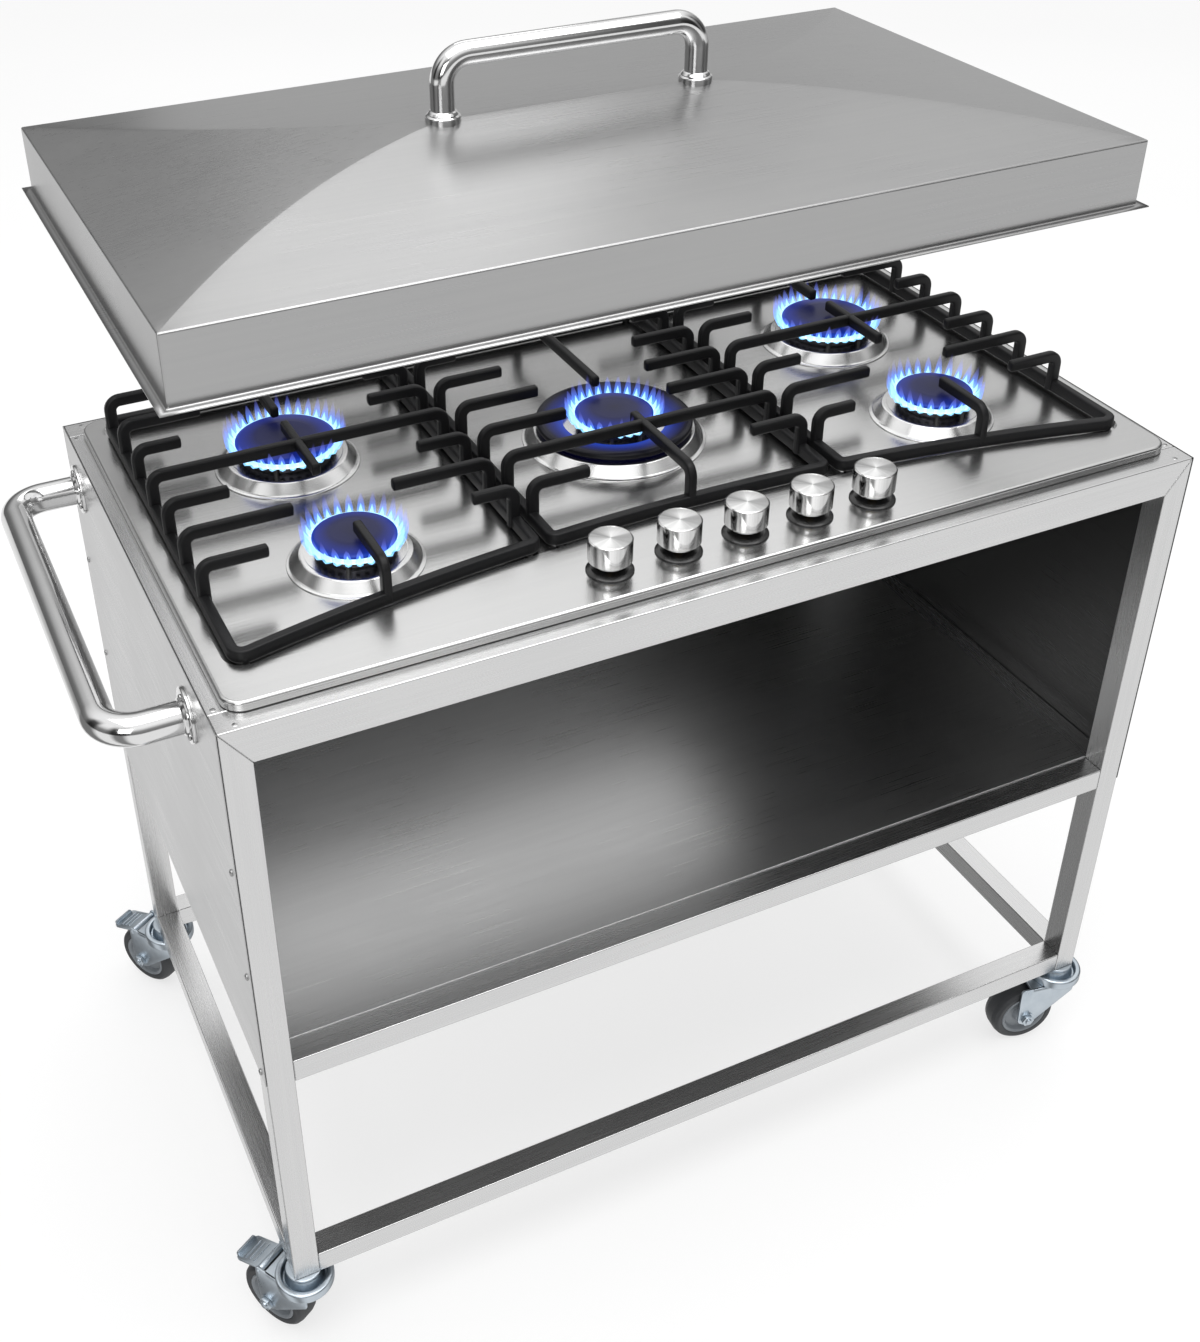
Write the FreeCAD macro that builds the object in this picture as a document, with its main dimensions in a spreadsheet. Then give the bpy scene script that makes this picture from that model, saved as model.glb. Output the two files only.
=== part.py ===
import FreeCAD, Part
import math
import os
from types import SimpleNamespace
from FreeCAD import Placement, Rotation, Vector

# Stove cart: a welded tube cart on casters, with a five-burner gas hob, a push handle and a lift-off lid.
# Millimetres, +Z up, +X along the length (push handle at -X), front with the knobs at -Y.
# The origin lies on the floor under the middle of the frame.

doc = FreeCAD.newDocument("stove_cart")
sheet = doc.addObject("Spreadsheet::Sheet", "dim")

SIZES = {
    # tube frame
    "frame_length": 930, "frame_depth": 525, "frame_height": 767,
    "tube": 25, "tube_wall": 1.5, "top_tube_height": 35,
    "shelf_height": 400, "sheet_wall": 1, "shelf_lip": 20, "shelf_proud": 1.5, "panel_reveal": 6,
    "panel_screw_radius": 3, "panel_screw_height": 1.6, "panel_screw_margin": 30,
    # push handle on the left end
    "push_radius": 14, "push_wall": 1.5, "push_reach": 66, "push_bend": 48, "push_margin": 68.5,
    "push_centre": 25, "push_drop": 47, "flange_radius": 24, "flange_thick": 4,
    "flange_screw_circle": 18.5, "flange_screw_radius": 3, "flange_screw_height": 1.8,
    # hob
    "hob_end_margin": 12.5, "hob_side_margin": 17.5, "hob_corner": 18, "hob_rim": 8, "hob_wall": 1,
    "hob_edge_round": 3, "seal_thick": 1, "seal_width": 9, "well_depth": 4, "well_gap": 4, "well_corner": 18,
    "box_end_gap": 35, "box_side_gap": 36.5, "box_drop": 62,
    # burners
    "burner_shift": 5, "rear_burner_margin": 137, "front_burner_margin": 107, "centre_burner_shift": 5,
    "rear_cap_radius": 46, "front_cap_radius": 36, "centre_cap_radius": 37,
    "rear_dish_radius": 67, "front_dish_radius": 59, "centre_dish_radius": 87,
    "dish_lip": 7, "dish_lip_thick": 1.5, "dish_slope": 9, "dish_height": 11, "fit_gap": 0.2,
    "burner_stem_radius": 20, "burner_stem_drop": 26, "crown_inset": 5, "crown_height": 12,
    "cap_thick": 8, "cap_dome": 2, "cap_edge_round": 2,
    "ring_outer_radius": 74, "ring_inner_radius": 49, "ring_height": 10, "ring_slope": 6,
    "pin_radius": 2, "pin_height": 22, "pin_clear": 1,
    # knobs, stems and gas pipework
    "knob_pitch": 65, "knob_centre": 18, "knob_margin": 40, "knob_radius": 19, "knob_height": 25,
    "knob_edge": 1, "knob_lift": 3.5, "knob_bore_depth": 18,
    "bezel_radius": 20.5, "bezel_height": 3, "stem_radius": 4, "run_gap": 0.05, "stem_press": 3,
    "stem_hole_gap": 1.5, "stem_drop": 22, "valve_width": 24, "valve_drop": 10, "valve_height": 26,
    "manifold_radius": 8, "manifold_bend": 30, "manifold_overhang": 40,
    "inlet_end_gap": 50, "inlet_back_gap": 56, "inlet_radius": 10.4, "inlet_length": 24, "inlet_drop": 30,
    "inlet_bore": 6, "feed_radius": 3,
    # pan supports
    "support_end_margin": 19.5, "support_back_margin": 18, "support_front_margin": 44, "support_front_bow": 54,
    "support_split": 145, "support_gap": 7, "support_corner": 16, "support_lift": 2,
    "pad_radius": 4, "pad_inset": 12, "bar_width": 9, "bar_height": 12, "support_height": 45,
    "finger_width": 8, "finger_thick": 11,
    "finger_bend": 15, "finger_bend_inner": 6, "finger_back_margin": 21, "finger_front_margin": 95,
    "finger_count": 7,
    # casters
    "caster_height": 104, "wheel_radius": 37.5, "wheel_width": 28, "tyre_round": 4, "hub_radius": 27,
    "hub_recess": 5, "boss_radius": 11, "boss_proud": 1.5, "trail": 37, "axle_radius": 4, "wheel_run_gap": 0.08,
    "cheek_gap": 2, "cheek_thick": 2.5, "cheek_hole_gap": 0.1, "axle_head_flats": 13, "axle_head": 5,
    "roof_height": 80, "roof_thick": 4, "race_radius": 28.5, "race_wall": 6, "race_floor": 4, "race_rim": 8,
    "kingpin_radius": 6, "kingpin_head_radius": 9, "kingpin_head": 3, "kingpin_gap": 0.3,
    "dome_radius": 21, "dome_top_radius": 15, "plate_radius": 17.5, "plate_thick": 4,
    "plug_radius": 10.8, "plug_length": 40, "cheek_front": 16, "cheek_rear": 12, "cheek_foot": 10,
    "pedal_pivot_back": 8, "pedal_pivot_drop": 1, "pedal_pin_radius": 2.5, "pedal_barrel_radius": 4,
    "pedal_angle": 18, "pedal_length": 36, "pedal_thick": 2.5, "pedal_lip": 6, "pedal_side_gap": 0.6,
    "front_left_heading": 120, "front_right_heading": 170, "rear_left_heading": 122, "rear_right_heading": 160,
    # lid, drawn where it is held, above and behind its seat on the frame
    "lid_rise": 196, "lid_back": 128, "lid_side": 16, "lid_seat_gap": 0.2,
    "lid_end_gap": 2, "lid_front_gap": 8.5, "lid_rear_gap": 2, "lid_wall": 1, "lid_flange": 8,
    "lid_skirt": 62, "lid_hip": 32, "lid_ridge": 256,
    "lid_bar_radius": 11, "lid_bar_wall": 1.5, "lid_bar_spread": 256, "lid_bar_rise": 56, "lid_bar_bend": 36,
    "collar_radius": 16, "collar_height": 6,
}
# Sizes and levels that follow from others
FORMULAS = {
    "push_spread": "=frame_depth - 2 * push_margin",
    "hob_length": "=frame_length - 2 * hob_end_margin",
    "hob_depth": "=frame_depth - 2 * hob_side_margin",
    "box_length": "=frame_length - 2 * box_end_gap",
    "box_depth": "=frame_depth - 2 * box_side_gap",
    "inlet_x": "=box_length / 2 - inlet_end_gap",
    "inlet_y": "=box_depth / 2 - inlet_back_gap",
    "knob_row": "=hob_depth / 2 - knob_margin",
    "support_half_length": "=hob_length / 2 - support_end_margin",
    "support_back": "=hob_depth / 2 - support_back_margin",
    "support_front_end": "=support_front_margin - hob_depth / 2",
    "support_front_middle": "=support_front_end + support_front_bow",
    "finger_first": "=support_back - finger_back_margin",
    "finger_pitch": "=(finger_first - support_front_end - finger_front_margin) / (finger_count - 1)",
    "burner_x": "=(support_split + support_half_length) / 2 + burner_shift",
    "rear_burner_y": "=support_back - rear_burner_margin",
    "front_burner_y": "=support_front_end + front_burner_margin",
    "centre_burner_y": "=(rear_burner_y + front_burner_y) / 2 + centre_burner_shift",
    "seal_top": "=frame_height + seal_thick",
    "hob_top": "=seal_top + hob_rim",
    "well_floor": "=hob_top - well_depth",
    "well_under": "=well_floor - hob_wall",
    "box_floor": "=frame_height - box_drop",
    "dish_top": "=well_floor + dish_height",
    "cap_base": "=dish_top + crown_height",
    "manifold_z": "=well_under - valve_drop - valve_height",
    "knob_base": "=hob_top + bezel_height + knob_lift",
}
CELLS = {**SIZES, **FORMULAS}
for row, (alias, value) in enumerate(CELLS.items(), start=1):
    sheet.set(f"A{row}", alias)
    sheet.set(f"B{row}", str(value))
    sheet.setAlias(f"B{row}", alias)
doc.recompute()
dim = SimpleNamespace(**{alias: float(sheet.get(alias)) for alias in CELLS})

X_AXIS, Y_AXIS, Z_AXIS = Vector(1, 0, 0), Vector(0, 1, 0), Vector(0, 0, 1)
CORNERS = {"front_left": (-1, -1), "front_right": (1, -1), "rear_left": (-1, 1), "rear_right": (1, 1)}
BRAKED = ("front_left", "rear_left")
SIDE_BY_SIDE = ("left", "centre", "right")

KNOB_XS = [dim.knob_centre + (n - 2) * dim.knob_pitch for n in range(5)]

parts = []


def keep(piece, label):
    """Names a finished sub-part and puts it on the list to write."""
    piece.Label = label
    parts.append(piece)
    return piece


def feature(label, shape, placement=None):
    """A sub-part whose shape is worked out below from the sheet."""
    piece = doc.addObject("Part::Feature", label)
    piece.Shape = shape
    if placement:
        piece.Placement = placement
    return keep(piece, label)


def block(name, sizes, corner):
    """A box with every size and its lowest corner bound to the sheet."""
    piece = doc.addObject("Part::Box", name)
    for prop, text in zip(("Length", "Width", "Height"), sizes):
        piece.setExpression(prop, text)
    for axis, text in zip("xyz", corner):
        piece.setExpression(f"Placement.Base.{axis}", text)
    return piece


def rod(name, radius, height, foot, rotation=None):
    """A cylinder with its sizes and foot bound to the sheet, upright unless it is turned."""
    piece = doc.addObject("Part::Cylinder", name)
    piece.setExpression("Radius", radius)
    piece.setExpression("Height", height)
    if rotation:
        piece.Placement.Rotation = rotation
    for axis, text in zip("xyz", foot):
        piece.setExpression(f"Placement.Base.{axis}", text)
    return piece


def group(label, pieces):
    """Several solids as one sub-part."""
    piece = doc.addObject("Part::Compound", label)
    piece.Links = pieces
    return keep(piece, label)


def cut(name, base, tool):
    piece = doc.addObject("Part::Cut", name)
    piece.Base, piece.Tool = base, tool
    return piece


def mirrored(name, source, normal):
    piece = doc.addObject("Part::Mirroring", name)
    piece.Source = source
    piece.Normal = normal
    return piece


def pair(label, piece, normal):
    """A piece and its mirror image as two solids of one sub-part."""
    return group(label, [piece, mirrored(f"{label}_far", piece, normal)])


# Tube frame

HALF_LENGTH, HALF_DEPTH = "dim.frame_length / 2", "dim.frame_depth / 2"
INNER_TUBE = "dim.tube - 2 * dim.tube_wall"
OVERRUN = "2 * dim.tube"


def hollow_bore(name, along, sizes, corner):
    """The inside of a square tube, which runs past both ends along one axis."""
    low = [f"{text} + dim.tube_wall" for text in corner]
    wide = [f"{text} - 2 * dim.tube_wall" for text in sizes]
    low[along] = f"{corner[along]} - dim.tube"
    wide[along] = f"{sizes[along]} + {OVERRUN}"
    return block(name, wide, low)


def tube_piece(name, along, sizes, corner):
    return cut(name, block(f"{name}_outer", sizes, corner), hollow_bore(f"{name}_bore", along, sizes, corner))


def mitred_leg_solid():
    """The front left leg, filled, cut along the line where it meets the long top tube."""
    leg = block("leg_filled", ("dim.tube", "dim.tube", "dim.frame_height - dim.caster_height"),
                (f"-{HALF_LENGTH}", f"-{HALF_DEPTH}", "dim.caster_height"))
    mitre = block("leg_mitre", ("2 * (dim.tube + dim.top_tube_height)", "dim.tube",
                                "2 * (dim.tube + dim.top_tube_height)"),
                  (f"-{HALF_LENGTH}", f"-{HALF_DEPTH}", "dim.frame_height"))
    mitre.Placement.Rotation = Rotation(Y_AXIS, 45)
    mitre.setExpression("Placement.Rotation.Angle", "atan(dim.top_tube_height / dim.tube)")
    return cut("leg_mitred", leg, mitre)


def make_frame():
    leg_solid = mitred_leg_solid()
    leg_bore = hollow_bore("leg_bore", 2, ("dim.tube", "dim.tube", "dim.frame_height - dim.caster_height"),
                           (f"-{HALF_LENGTH}", f"-{HALF_DEPTH}", "dim.caster_height"))
    leg = cut("leg", leg_solid, leg_bore)
    pair("front_legs", leg, X_AXIS)
    pair("rear_legs", mirrored("rear_leg", leg, Y_AXIS), X_AXIS)

    top_long = tube_piece("top_long", 0, ("dim.frame_length", "dim.tube", "dim.top_tube_height"),
                          (f"-{HALF_LENGTH}", f"-{HALF_DEPTH}", "dim.frame_height - dim.top_tube_height"))
    top_trimmed = cut("top_left_mitre", top_long, leg_solid)
    top_mitred = cut("top_both_mitres", top_trimmed, mirrored("leg_mitred_far", leg_solid, X_AXIS))
    pair("top_long_tubes", top_mitred, Y_AXIS)

    side_length = "dim.frame_depth - 2 * dim.tube"
    long_length = "dim.frame_length - 2 * dim.tube"
    side_start = f"dim.tube - {HALF_DEPTH}"
    long_start = f"dim.tube - {HALF_LENGTH}"
    top_side = tube_piece("top_side", 1, ("dim.tube", side_length, "dim.top_tube_height"),
                          (f"-{HALF_LENGTH}", side_start, "dim.frame_height - dim.top_tube_height"))
    pair("top_side_tubes", top_side, X_AXIS)
    for level, foot in (("shelf", "dim.shelf_height - dim.tube"), ("lower", "dim.caster_height")):
        long_rail = tube_piece(f"{level}_long", 0, (long_length, "dim.tube", "dim.tube"),
                               (long_start, f"-{HALF_DEPTH}", foot))
        side_rail = tube_piece(f"{level}_side", 1, ("dim.tube", side_length, "dim.tube"),
                               (f"-{HALF_LENGTH}", side_start, foot))
        pair(f"{level}_long_rails", long_rail, Y_AXIS)
        pair(f"{level}_side_rails", side_rail, X_AXIS)


def make_sheets():
    """The shelf with its turned-down lips, and the panels over the ends and the back of the bay."""
    length, depth = "dim.frame_length - 2 * dim.tube", "dim.frame_depth - 2 * dim.tube"
    corner = (f"dim.tube - {HALF_LENGTH}", f"dim.tube - {HALF_DEPTH}")
    shelf_foot = "dim.shelf_height + dim.shelf_proud - dim.shelf_lip"
    outer = block("shelf_outer", (length, depth, "dim.shelf_lip"), (*corner, shelf_foot))
    inner_length, inner_depth = (f"{text} - 2 * dim.sheet_wall" for text in (length, depth))
    inner = block("shelf_under", (inner_length, inner_depth, "dim.shelf_lip"),
                  (*(f"{text} + dim.sheet_wall" for text in corner), f"{shelf_foot} - dim.sheet_wall"))
    keep(cut("shelf_sheet", outer, inner), "shelf_sheet")

    foot = "dim.shelf_height - dim.tube + dim.panel_reveal"
    rise = f"dim.frame_height - ({foot})"
    left = block("left_side_panel", ("dim.sheet_wall", "dim.frame_depth", rise),
                 (f"-{HALF_LENGTH} - dim.sheet_wall", f"-{HALF_DEPTH}", foot))
    keep(left, "left_side_panel")
    keep(mirrored("right_side_panel", left, X_AXIS), "right_side_panel")
    back = block("back_panel", ("dim.frame_length + 2 * dim.sheet_wall", "dim.sheet_wall", rise),
                 (f"-{HALF_LENGTH} - dim.sheet_wall", HALF_DEPTH, foot))
    keep(back, "back_panel")


def screw(radius, height, foot, direction):
    """A pan-head screw's head, rounded over on top."""
    head = Part.makeCylinder(radius, height, foot, direction)
    rim = [edge for edge in head.Edges
           if edge.Closed and (edge.CenterOfMass - foot).dot(direction) > height / 2]
    return head.makeFillet(height / 2, rim)


def make_panel_screws():
    """Three screws up each corner leg, through the end panels and through the back panel."""
    low = dim.shelf_height - dim.tube / 2
    high = dim.frame_height - dim.panel_screw_margin
    heads = []
    for height in (low, low + (high - low) / 3, low + 2 * (high - low) / 3):
        for y_side in (-1, 1):
            y = y_side * (dim.frame_depth - dim.tube) / 2
            for x_side in (-1, 1):
                x = x_side * (dim.frame_length / 2 + dim.sheet_wall)
                heads.append((Vector(x, y, height), Vector(x_side, 0, 0)))
        for x_side in (-1, 1):
            x = x_side * (dim.frame_length - dim.tube) / 2
            heads.append((Vector(x, dim.frame_depth / 2 + dim.sheet_wall, height), Y_AXIS))
    made = [screw(dim.panel_screw_radius, dim.panel_screw_height, *head) for head in heads]
    feature("panel_screws", Part.makeCompound(made))


# Bent tube handles

def bent_tube(points, bend, radius, wall):
    """A round tube along straight runs with a tangent arc of one radius at each inner point."""
    edges, start = [], points[0]
    for before, corner, after in zip(points, points[1:], points[2:]):
        back, on = (before - corner).normalize(), (after - corner).normalize()
        half = back.getAngle(on) / 2
        reach = bend / math.tan(half)
        middle = corner + (back + on).normalize() * (bend / math.sin(half) - bend)
        first, last = corner + back * reach, corner + on * reach
        edges += [Part.makeLine(start, first), Part.Arc(first, middle, last).toShape()]
        start = last
    path = Part.Wire(edges + [Part.makeLine(start, points[-1])])
    direction = (points[1] - points[0]).normalize()

    def swept(size):
        ring = Part.Wire(Part.makeCircle(size, points[0], direction))
        return path.makePipeShell([ring], True, False)

    return swept(radius).cut(swept(radius - wall))


def make_push_handle():
    face = -dim.frame_length / 2 - dim.sheet_wall
    z = dim.frame_height - dim.push_drop
    feet = [Vector(face, dim.push_centre + side * dim.push_spread / 2, z) for side in (-1, 1)]
    flange_face = face - dim.flange_thick
    run = -dim.push_reach
    points = [feet[0] + Vector(-dim.flange_thick, 0, 0), feet[0] + Vector(run, 0, 0),
              feet[1] + Vector(run, 0, 0), feet[1] + Vector(-dim.flange_thick, 0, 0)]
    feature("push_handle", bent_tube(points, dim.push_bend, dim.push_radius, dim.push_wall))
    screws = []
    for foot in feet:
        for turn in range(3):
            angle = math.radians(90 + 120 * turn)
            spot = Vector(flange_face, foot.y + dim.flange_screw_circle * math.cos(angle),
                          foot.z + dim.flange_screw_circle * math.sin(angle))
            screws.append(screw(dim.flange_screw_radius, dim.flange_screw_height, spot, -X_AXIS))
    feature("push_handle_screws", Part.makeCompound(screws))
    flanges = [rod(f"push_flange_{number}", "dim.flange_radius", "dim.flange_thick",
                   (f"-{HALF_LENGTH} - dim.sheet_wall", f"dim.push_centre {sign} dim.push_spread / 2",
                    "dim.frame_height - dim.push_drop"), Rotation(Y_AXIS, -90))
               for number, sign in enumerate("-+", start=1)]
    group("push_handle_flanges", flanges)


# Hob

def rounded_plate(length, depth, corner, foot, top):
    """A flat plate about the middle of the frame, with round corners in plan."""
    plate = Part.makeBox(length, depth, top - foot, Vector(-length / 2, -depth / 2, foot))
    return plate.makeFillet(corner, [edge for edge in plate.Edges if abs(edge.tangentAt(0).z) > 0.9])


def top_rounded(solid, top, radius):
    return solid.makeFillet(radius, [edge for edge in solid.Edges if abs(edge.BoundBox.ZMin - top) < 1e-6])


def front_arc(x, shift):
    """The pan supports' curved front line, which bows back behind the knobs."""
    sag = dim.support_front_middle - dim.support_front_end
    radius = (dim.support_half_length ** 2 + sag ** 2) / (2 * sag)
    return dim.support_front_middle - radius + math.sqrt(radius ** 2 - x ** 2) + shift


def bowed_plate(x_low, x_high, back, shift, foot, top):
    """A plate with straight sides and back, and the curved front line shifted along Y."""
    middle = (x_low + x_high) / 2
    left, right = (Vector(x, front_arc(x, shift), foot) for x in (x_low, x_high))
    arc = Part.Arc(left, Vector(middle, front_arc(middle, shift), foot), right).toShape()
    rest = Part.makePolygon([right, Vector(x_high, back, foot), Vector(x_low, back, foot), left])
    return Part.Face(Part.Wire([arc] + rest.Edges)).extrude(Vector(0, 0, top - foot))


def upright_edges(solid, chosen):
    """The vertical edges that a test on their middle point picks."""
    upright_ones = [edge for edge in solid.Edges
                    if edge.Length > 0 and abs(edge.tangentAt(edge.FirstParameter).z) > 0.9]
    return [edge for edge in upright_ones if chosen(edge.CenterOfMass)]


def well_plate(grow, foot, top):
    reach = dim.support_half_length + dim.well_gap + grow
    plate = bowed_plate(-reach, reach, dim.support_back + dim.well_gap + grow, -dim.well_gap - grow, foot, top)
    return plate.makeFillet(dim.well_corner + grow, upright_edges(plate, lambda middle: True))


def burners():
    """Each burner's middle, cap radius, dish radius and the radius of its dish's raised step."""
    rows = [(dim.burner_x * side, y, cap, dish) for side in (-1, 1)
            for y, cap, dish in ((dim.front_burner_y, dim.front_cap_radius, dim.front_dish_radius),
                                 (dim.rear_burner_y, dim.rear_cap_radius, dim.rear_dish_radius))]
    rows.insert(2, (0, dim.centre_burner_y, dim.centre_cap_radius, dim.centre_dish_radius))
    return [SimpleNamespace(x=x, y=y, cap=cap, dish=dish, step=dish - dim.dish_lip - dim.dish_slope)
            for x, y, cap, dish in rows]


def upright(radius, foot, top, x, y):
    return Part.makeCylinder(radius, top - foot, Vector(x, y, foot))


def turned(points, x, y):
    """A solid of revolution about an upright axis, from (radius, height) points."""
    outline = Part.makePolygon([Vector(radius, 0, height) for radius, height in [*points, points[0]]])
    solid = Part.Face(outline).revolve(Vector(), Z_AXIS, 360)
    solid.translate(Vector(x, y, 0))
    return solid


def make_hob():
    outer = rounded_plate(dim.hob_length, dim.hob_depth, dim.hob_corner, dim.seal_top, dim.hob_top)
    under = rounded_plate(dim.hob_length - 2 * dim.hob_wall, dim.hob_depth - 2 * dim.hob_wall,
                          dim.hob_corner - dim.hob_wall, dim.frame_height, dim.hob_top - dim.hob_wall)
    outer = top_rounded(outer, dim.hob_top, dim.hob_edge_round)
    under = top_rounded(under, dim.hob_top - dim.hob_wall, dim.hob_edge_round - dim.hob_wall)
    panel = outer.cut(under.cut(well_plate(dim.hob_wall, dim.well_under, dim.hob_top)))
    panel = panel.cut(well_plate(0, dim.well_floor, dim.hob_top + dim.hob_wall))
    holes = [upright(dim.burner_stem_radius + 2 * dim.fit_gap, dim.box_floor, dim.hob_top, burner.x, burner.y)
             for burner in burners()]
    holes += [upright(dim.stem_radius + dim.stem_hole_gap, dim.box_floor, dim.hob_top, x, -dim.knob_row)
              for x in KNOB_XS]
    feature("hob_panel", panel.cut(holes))

    seal = rounded_plate(dim.hob_length, dim.hob_depth, dim.hob_corner, dim.frame_height, dim.seal_top)
    seal_inside = rounded_plate(dim.hob_length - 2 * dim.seal_width, dim.hob_depth - 2 * dim.seal_width,
                                dim.hob_corner - dim.seal_width, dim.frame_height, dim.seal_top)
    feature("hob_seal", seal.cut(seal_inside))

    corner = ("-dim.box_length / 2", "-dim.box_depth / 2", "dim.box_floor")
    rise = "dim.well_under - dim.box_floor"
    box = block("box_outer", ("dim.box_length", "dim.box_depth", rise), corner)
    inner_length, inner_depth = (f"dim.box_{text} - 2 * dim.sheet_wall" for text in ("length", "depth"))
    inner_corner = [f"{text} + dim.sheet_wall" for text in corner]
    inside = block("box_inside", (inner_length, inner_depth, rise), inner_corner)
    inlet_hole = rod("inlet_hole", "dim.manifold_radius + dim.fit_gap", rise,
                     ("dim.inlet_x", "dim.inlet_y", "dim.box_floor"))
    keep(cut("hob_underbox", cut("box_open", box, inside), inlet_hole), "hob_underbox")


def burner_pins():
    """Where two pins stand in front of each burner head: the igniter and the flame probe."""
    pins = []
    for burner in burners():
        away = burner.cap - dim.crown_inset + dim.pin_clear + dim.pin_radius
        for angle in (-75, -120):
            x = burner.x + away * math.cos(math.radians(angle))
            y = burner.y + away * math.sin(math.radians(angle))
            pins.append((x, y))
    return pins


def burner_head(burner):
    """The cast head: a stem down through the panel, and the crown that the flames leave."""
    crown, stem = burner.cap - dim.crown_inset, dim.burner_stem_radius
    foot = dim.well_under - dim.burner_stem_drop
    return turned([(0, foot), (stem, foot), (stem, dim.dish_top), (crown, dim.dish_top), (crown, dim.cap_base),
                   (0, dim.cap_base)], burner.x, burner.y)


def make_burners():
    pin_top = dim.well_floor + dim.pin_height
    pins = [upright(dim.pin_radius, dim.well_floor, pin_top, x, y) for x, y in burner_pins()]
    dishes, heads, caps = [], [], []
    for burner in burners():
        bore = dim.burner_stem_radius + dim.fit_gap
        slope_foot, lip_top = burner.dish - dim.dish_lip, dim.well_floor + dim.dish_lip_thick
        dish = turned([(bore, dim.well_floor), (burner.dish, dim.well_floor), (burner.dish, lip_top),
                       (slope_foot, lip_top), (burner.step, dim.dish_top), (bore, dim.dish_top)],
                      burner.x, burner.y)
        dishes.append(dish.cut(pins))
        heads.append(burner_head(burner))
        top = dim.cap_base + dim.cap_thick
        rim, edge = top - dim.cap_dome, dim.cap_edge_round
        caps.append(turned([(0, dim.cap_base), (burner.cap, dim.cap_base), (burner.cap, rim - edge),
                            (burner.cap - edge, rim), (burner.cap * 2 / 3, top), (0, top)], burner.x, burner.y))
    feature("burner_dishes", Part.makeCompound(dishes))
    feature("burner_heads", Part.makeCompound(heads))
    feature("burner_caps", Part.makeCompound(caps))
    feature("igniter_pins", Part.makeCompound(pins))
    inner, outer = dim.ring_inner_radius, dim.ring_outer_radius
    low, high = dim.dish_top, dim.dish_top + dim.ring_height
    flame_ring = turned([(inner, low), (outer - dim.ring_slope, low), (outer, (low + high) / 2), (outer, high),
                         (inner, high)], 0, dim.centre_burner_y)
    feature("outer_flame_ring", flame_ring)


# Pan supports

def finger(height, reach):
    """A cast finger in its own plane: it rises from a bar, bends over and reaches inwards."""
    thick, bend, inner = dim.finger_thick, dim.finger_bend, dim.finger_bend_inner
    slant = 1 - math.sqrt(0.5)

    def at(u, w):
        return Vector(u, 0, w)

    nose = thick / 3
    under = height - thick
    edges = [
        Part.makeLine(at(0, 0), at(0, height - bend)),
        Part.Arc(at(0, height - bend), at(bend * slant, height - bend * slant), at(bend, height)).toShape(),
        Part.makeLine(at(bend, height), at(reach - nose, height)),
        Part.makeLine(at(reach - nose, height), at(reach, height - nose)),
        Part.makeLine(at(reach, height - nose), at(reach, under)),
        Part.makeLine(at(reach, under), at(thick + inner, under)),
        Part.Arc(at(thick + inner, under), at(thick + inner * slant, under - inner * slant),
                 at(thick, under - inner)).toShape(),
        Part.makeLine(at(thick, under - inner), at(thick, 0)),
        Part.makeLine(at(thick, 0), at(0, 0)),
    ]
    solid = Part.Face(Part.Wire(edges)).extrude(Vector(0, dim.finger_width, 0))
    solid.translate(Vector(0, -dim.finger_width / 2, 0))
    return solid


def placed_finger(reach, x, y, heading):
    """A finger that starts on the outside of a bar at (x, y) and points along a heading in degrees."""
    solid = finger(dim.support_height - dim.support_lift, reach)
    solid.rotate(Vector(), Z_AXIS, heading)
    solid.translate(Vector(x, y, dim.well_floor + dim.support_lift))
    return solid


def make_support(x_low, x_high, left_reaches, right_reaches, cross_row, lengthwise):
    """One pan support: a low frame on four pads, fingers from its bars and one cross bar from side to side."""
    foot = dim.well_floor + dim.support_lift
    top = foot + dim.bar_height
    inset = dim.bar_width
    frame = bowed_plate(x_low, x_high, dim.support_back, 0, foot, top)
    outside = upright_edges(frame, lambda middle: abs(abs(middle.x) - dim.support_half_length) < 1e-3)
    if outside:
        frame = frame.makeFillet(dim.support_corner, outside)
    frame = frame.cut(bowed_plate(x_low + inset, x_high - inset, dim.support_back - inset, inset, foot, top))
    pieces = []
    for row, (left, right) in enumerate(zip(left_reaches, right_reaches)):
        y = dim.finger_first - row * dim.finger_pitch
        half = (x_high - x_low) / 2
        if row == cross_row:
            left = right = half + dim.finger_thick / 2
        pieces.append(placed_finger(left, x_low, y, 0))
        pieces.append(placed_finger(right, x_high, y, 180))
    for x, y_tip, from_front in lengthwise:
        if from_front:
            start = front_arc(x, 0)
            pieces.append(placed_finger(y_tip - start, x, start, 90))
        else:
            pieces.append(placed_finger(dim.support_back - y_tip, x, dim.support_back, -90))
    for x in (x_low + dim.pad_inset, x_high - dim.pad_inset):
        for y in (front_arc(x, dim.bar_width / 2), dim.support_back - dim.bar_width / 2):
            pieces.append(upright(dim.pad_radius, dim.well_floor + dim.fit_gap, top, x, y))
    return frame.fuse(pieces).removeSplitter()


def loose_spoke(x, y_low, y_high):
    """A straight spoke along Y that lies across a cross bar, level with the fingers."""
    height = dim.finger_thick
    top = dim.well_floor + dim.support_height
    return Part.makeBox(dim.finger_width, y_high - y_low, height,
                        Vector(x - dim.finger_width / 2, y_low, top - height))


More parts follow.
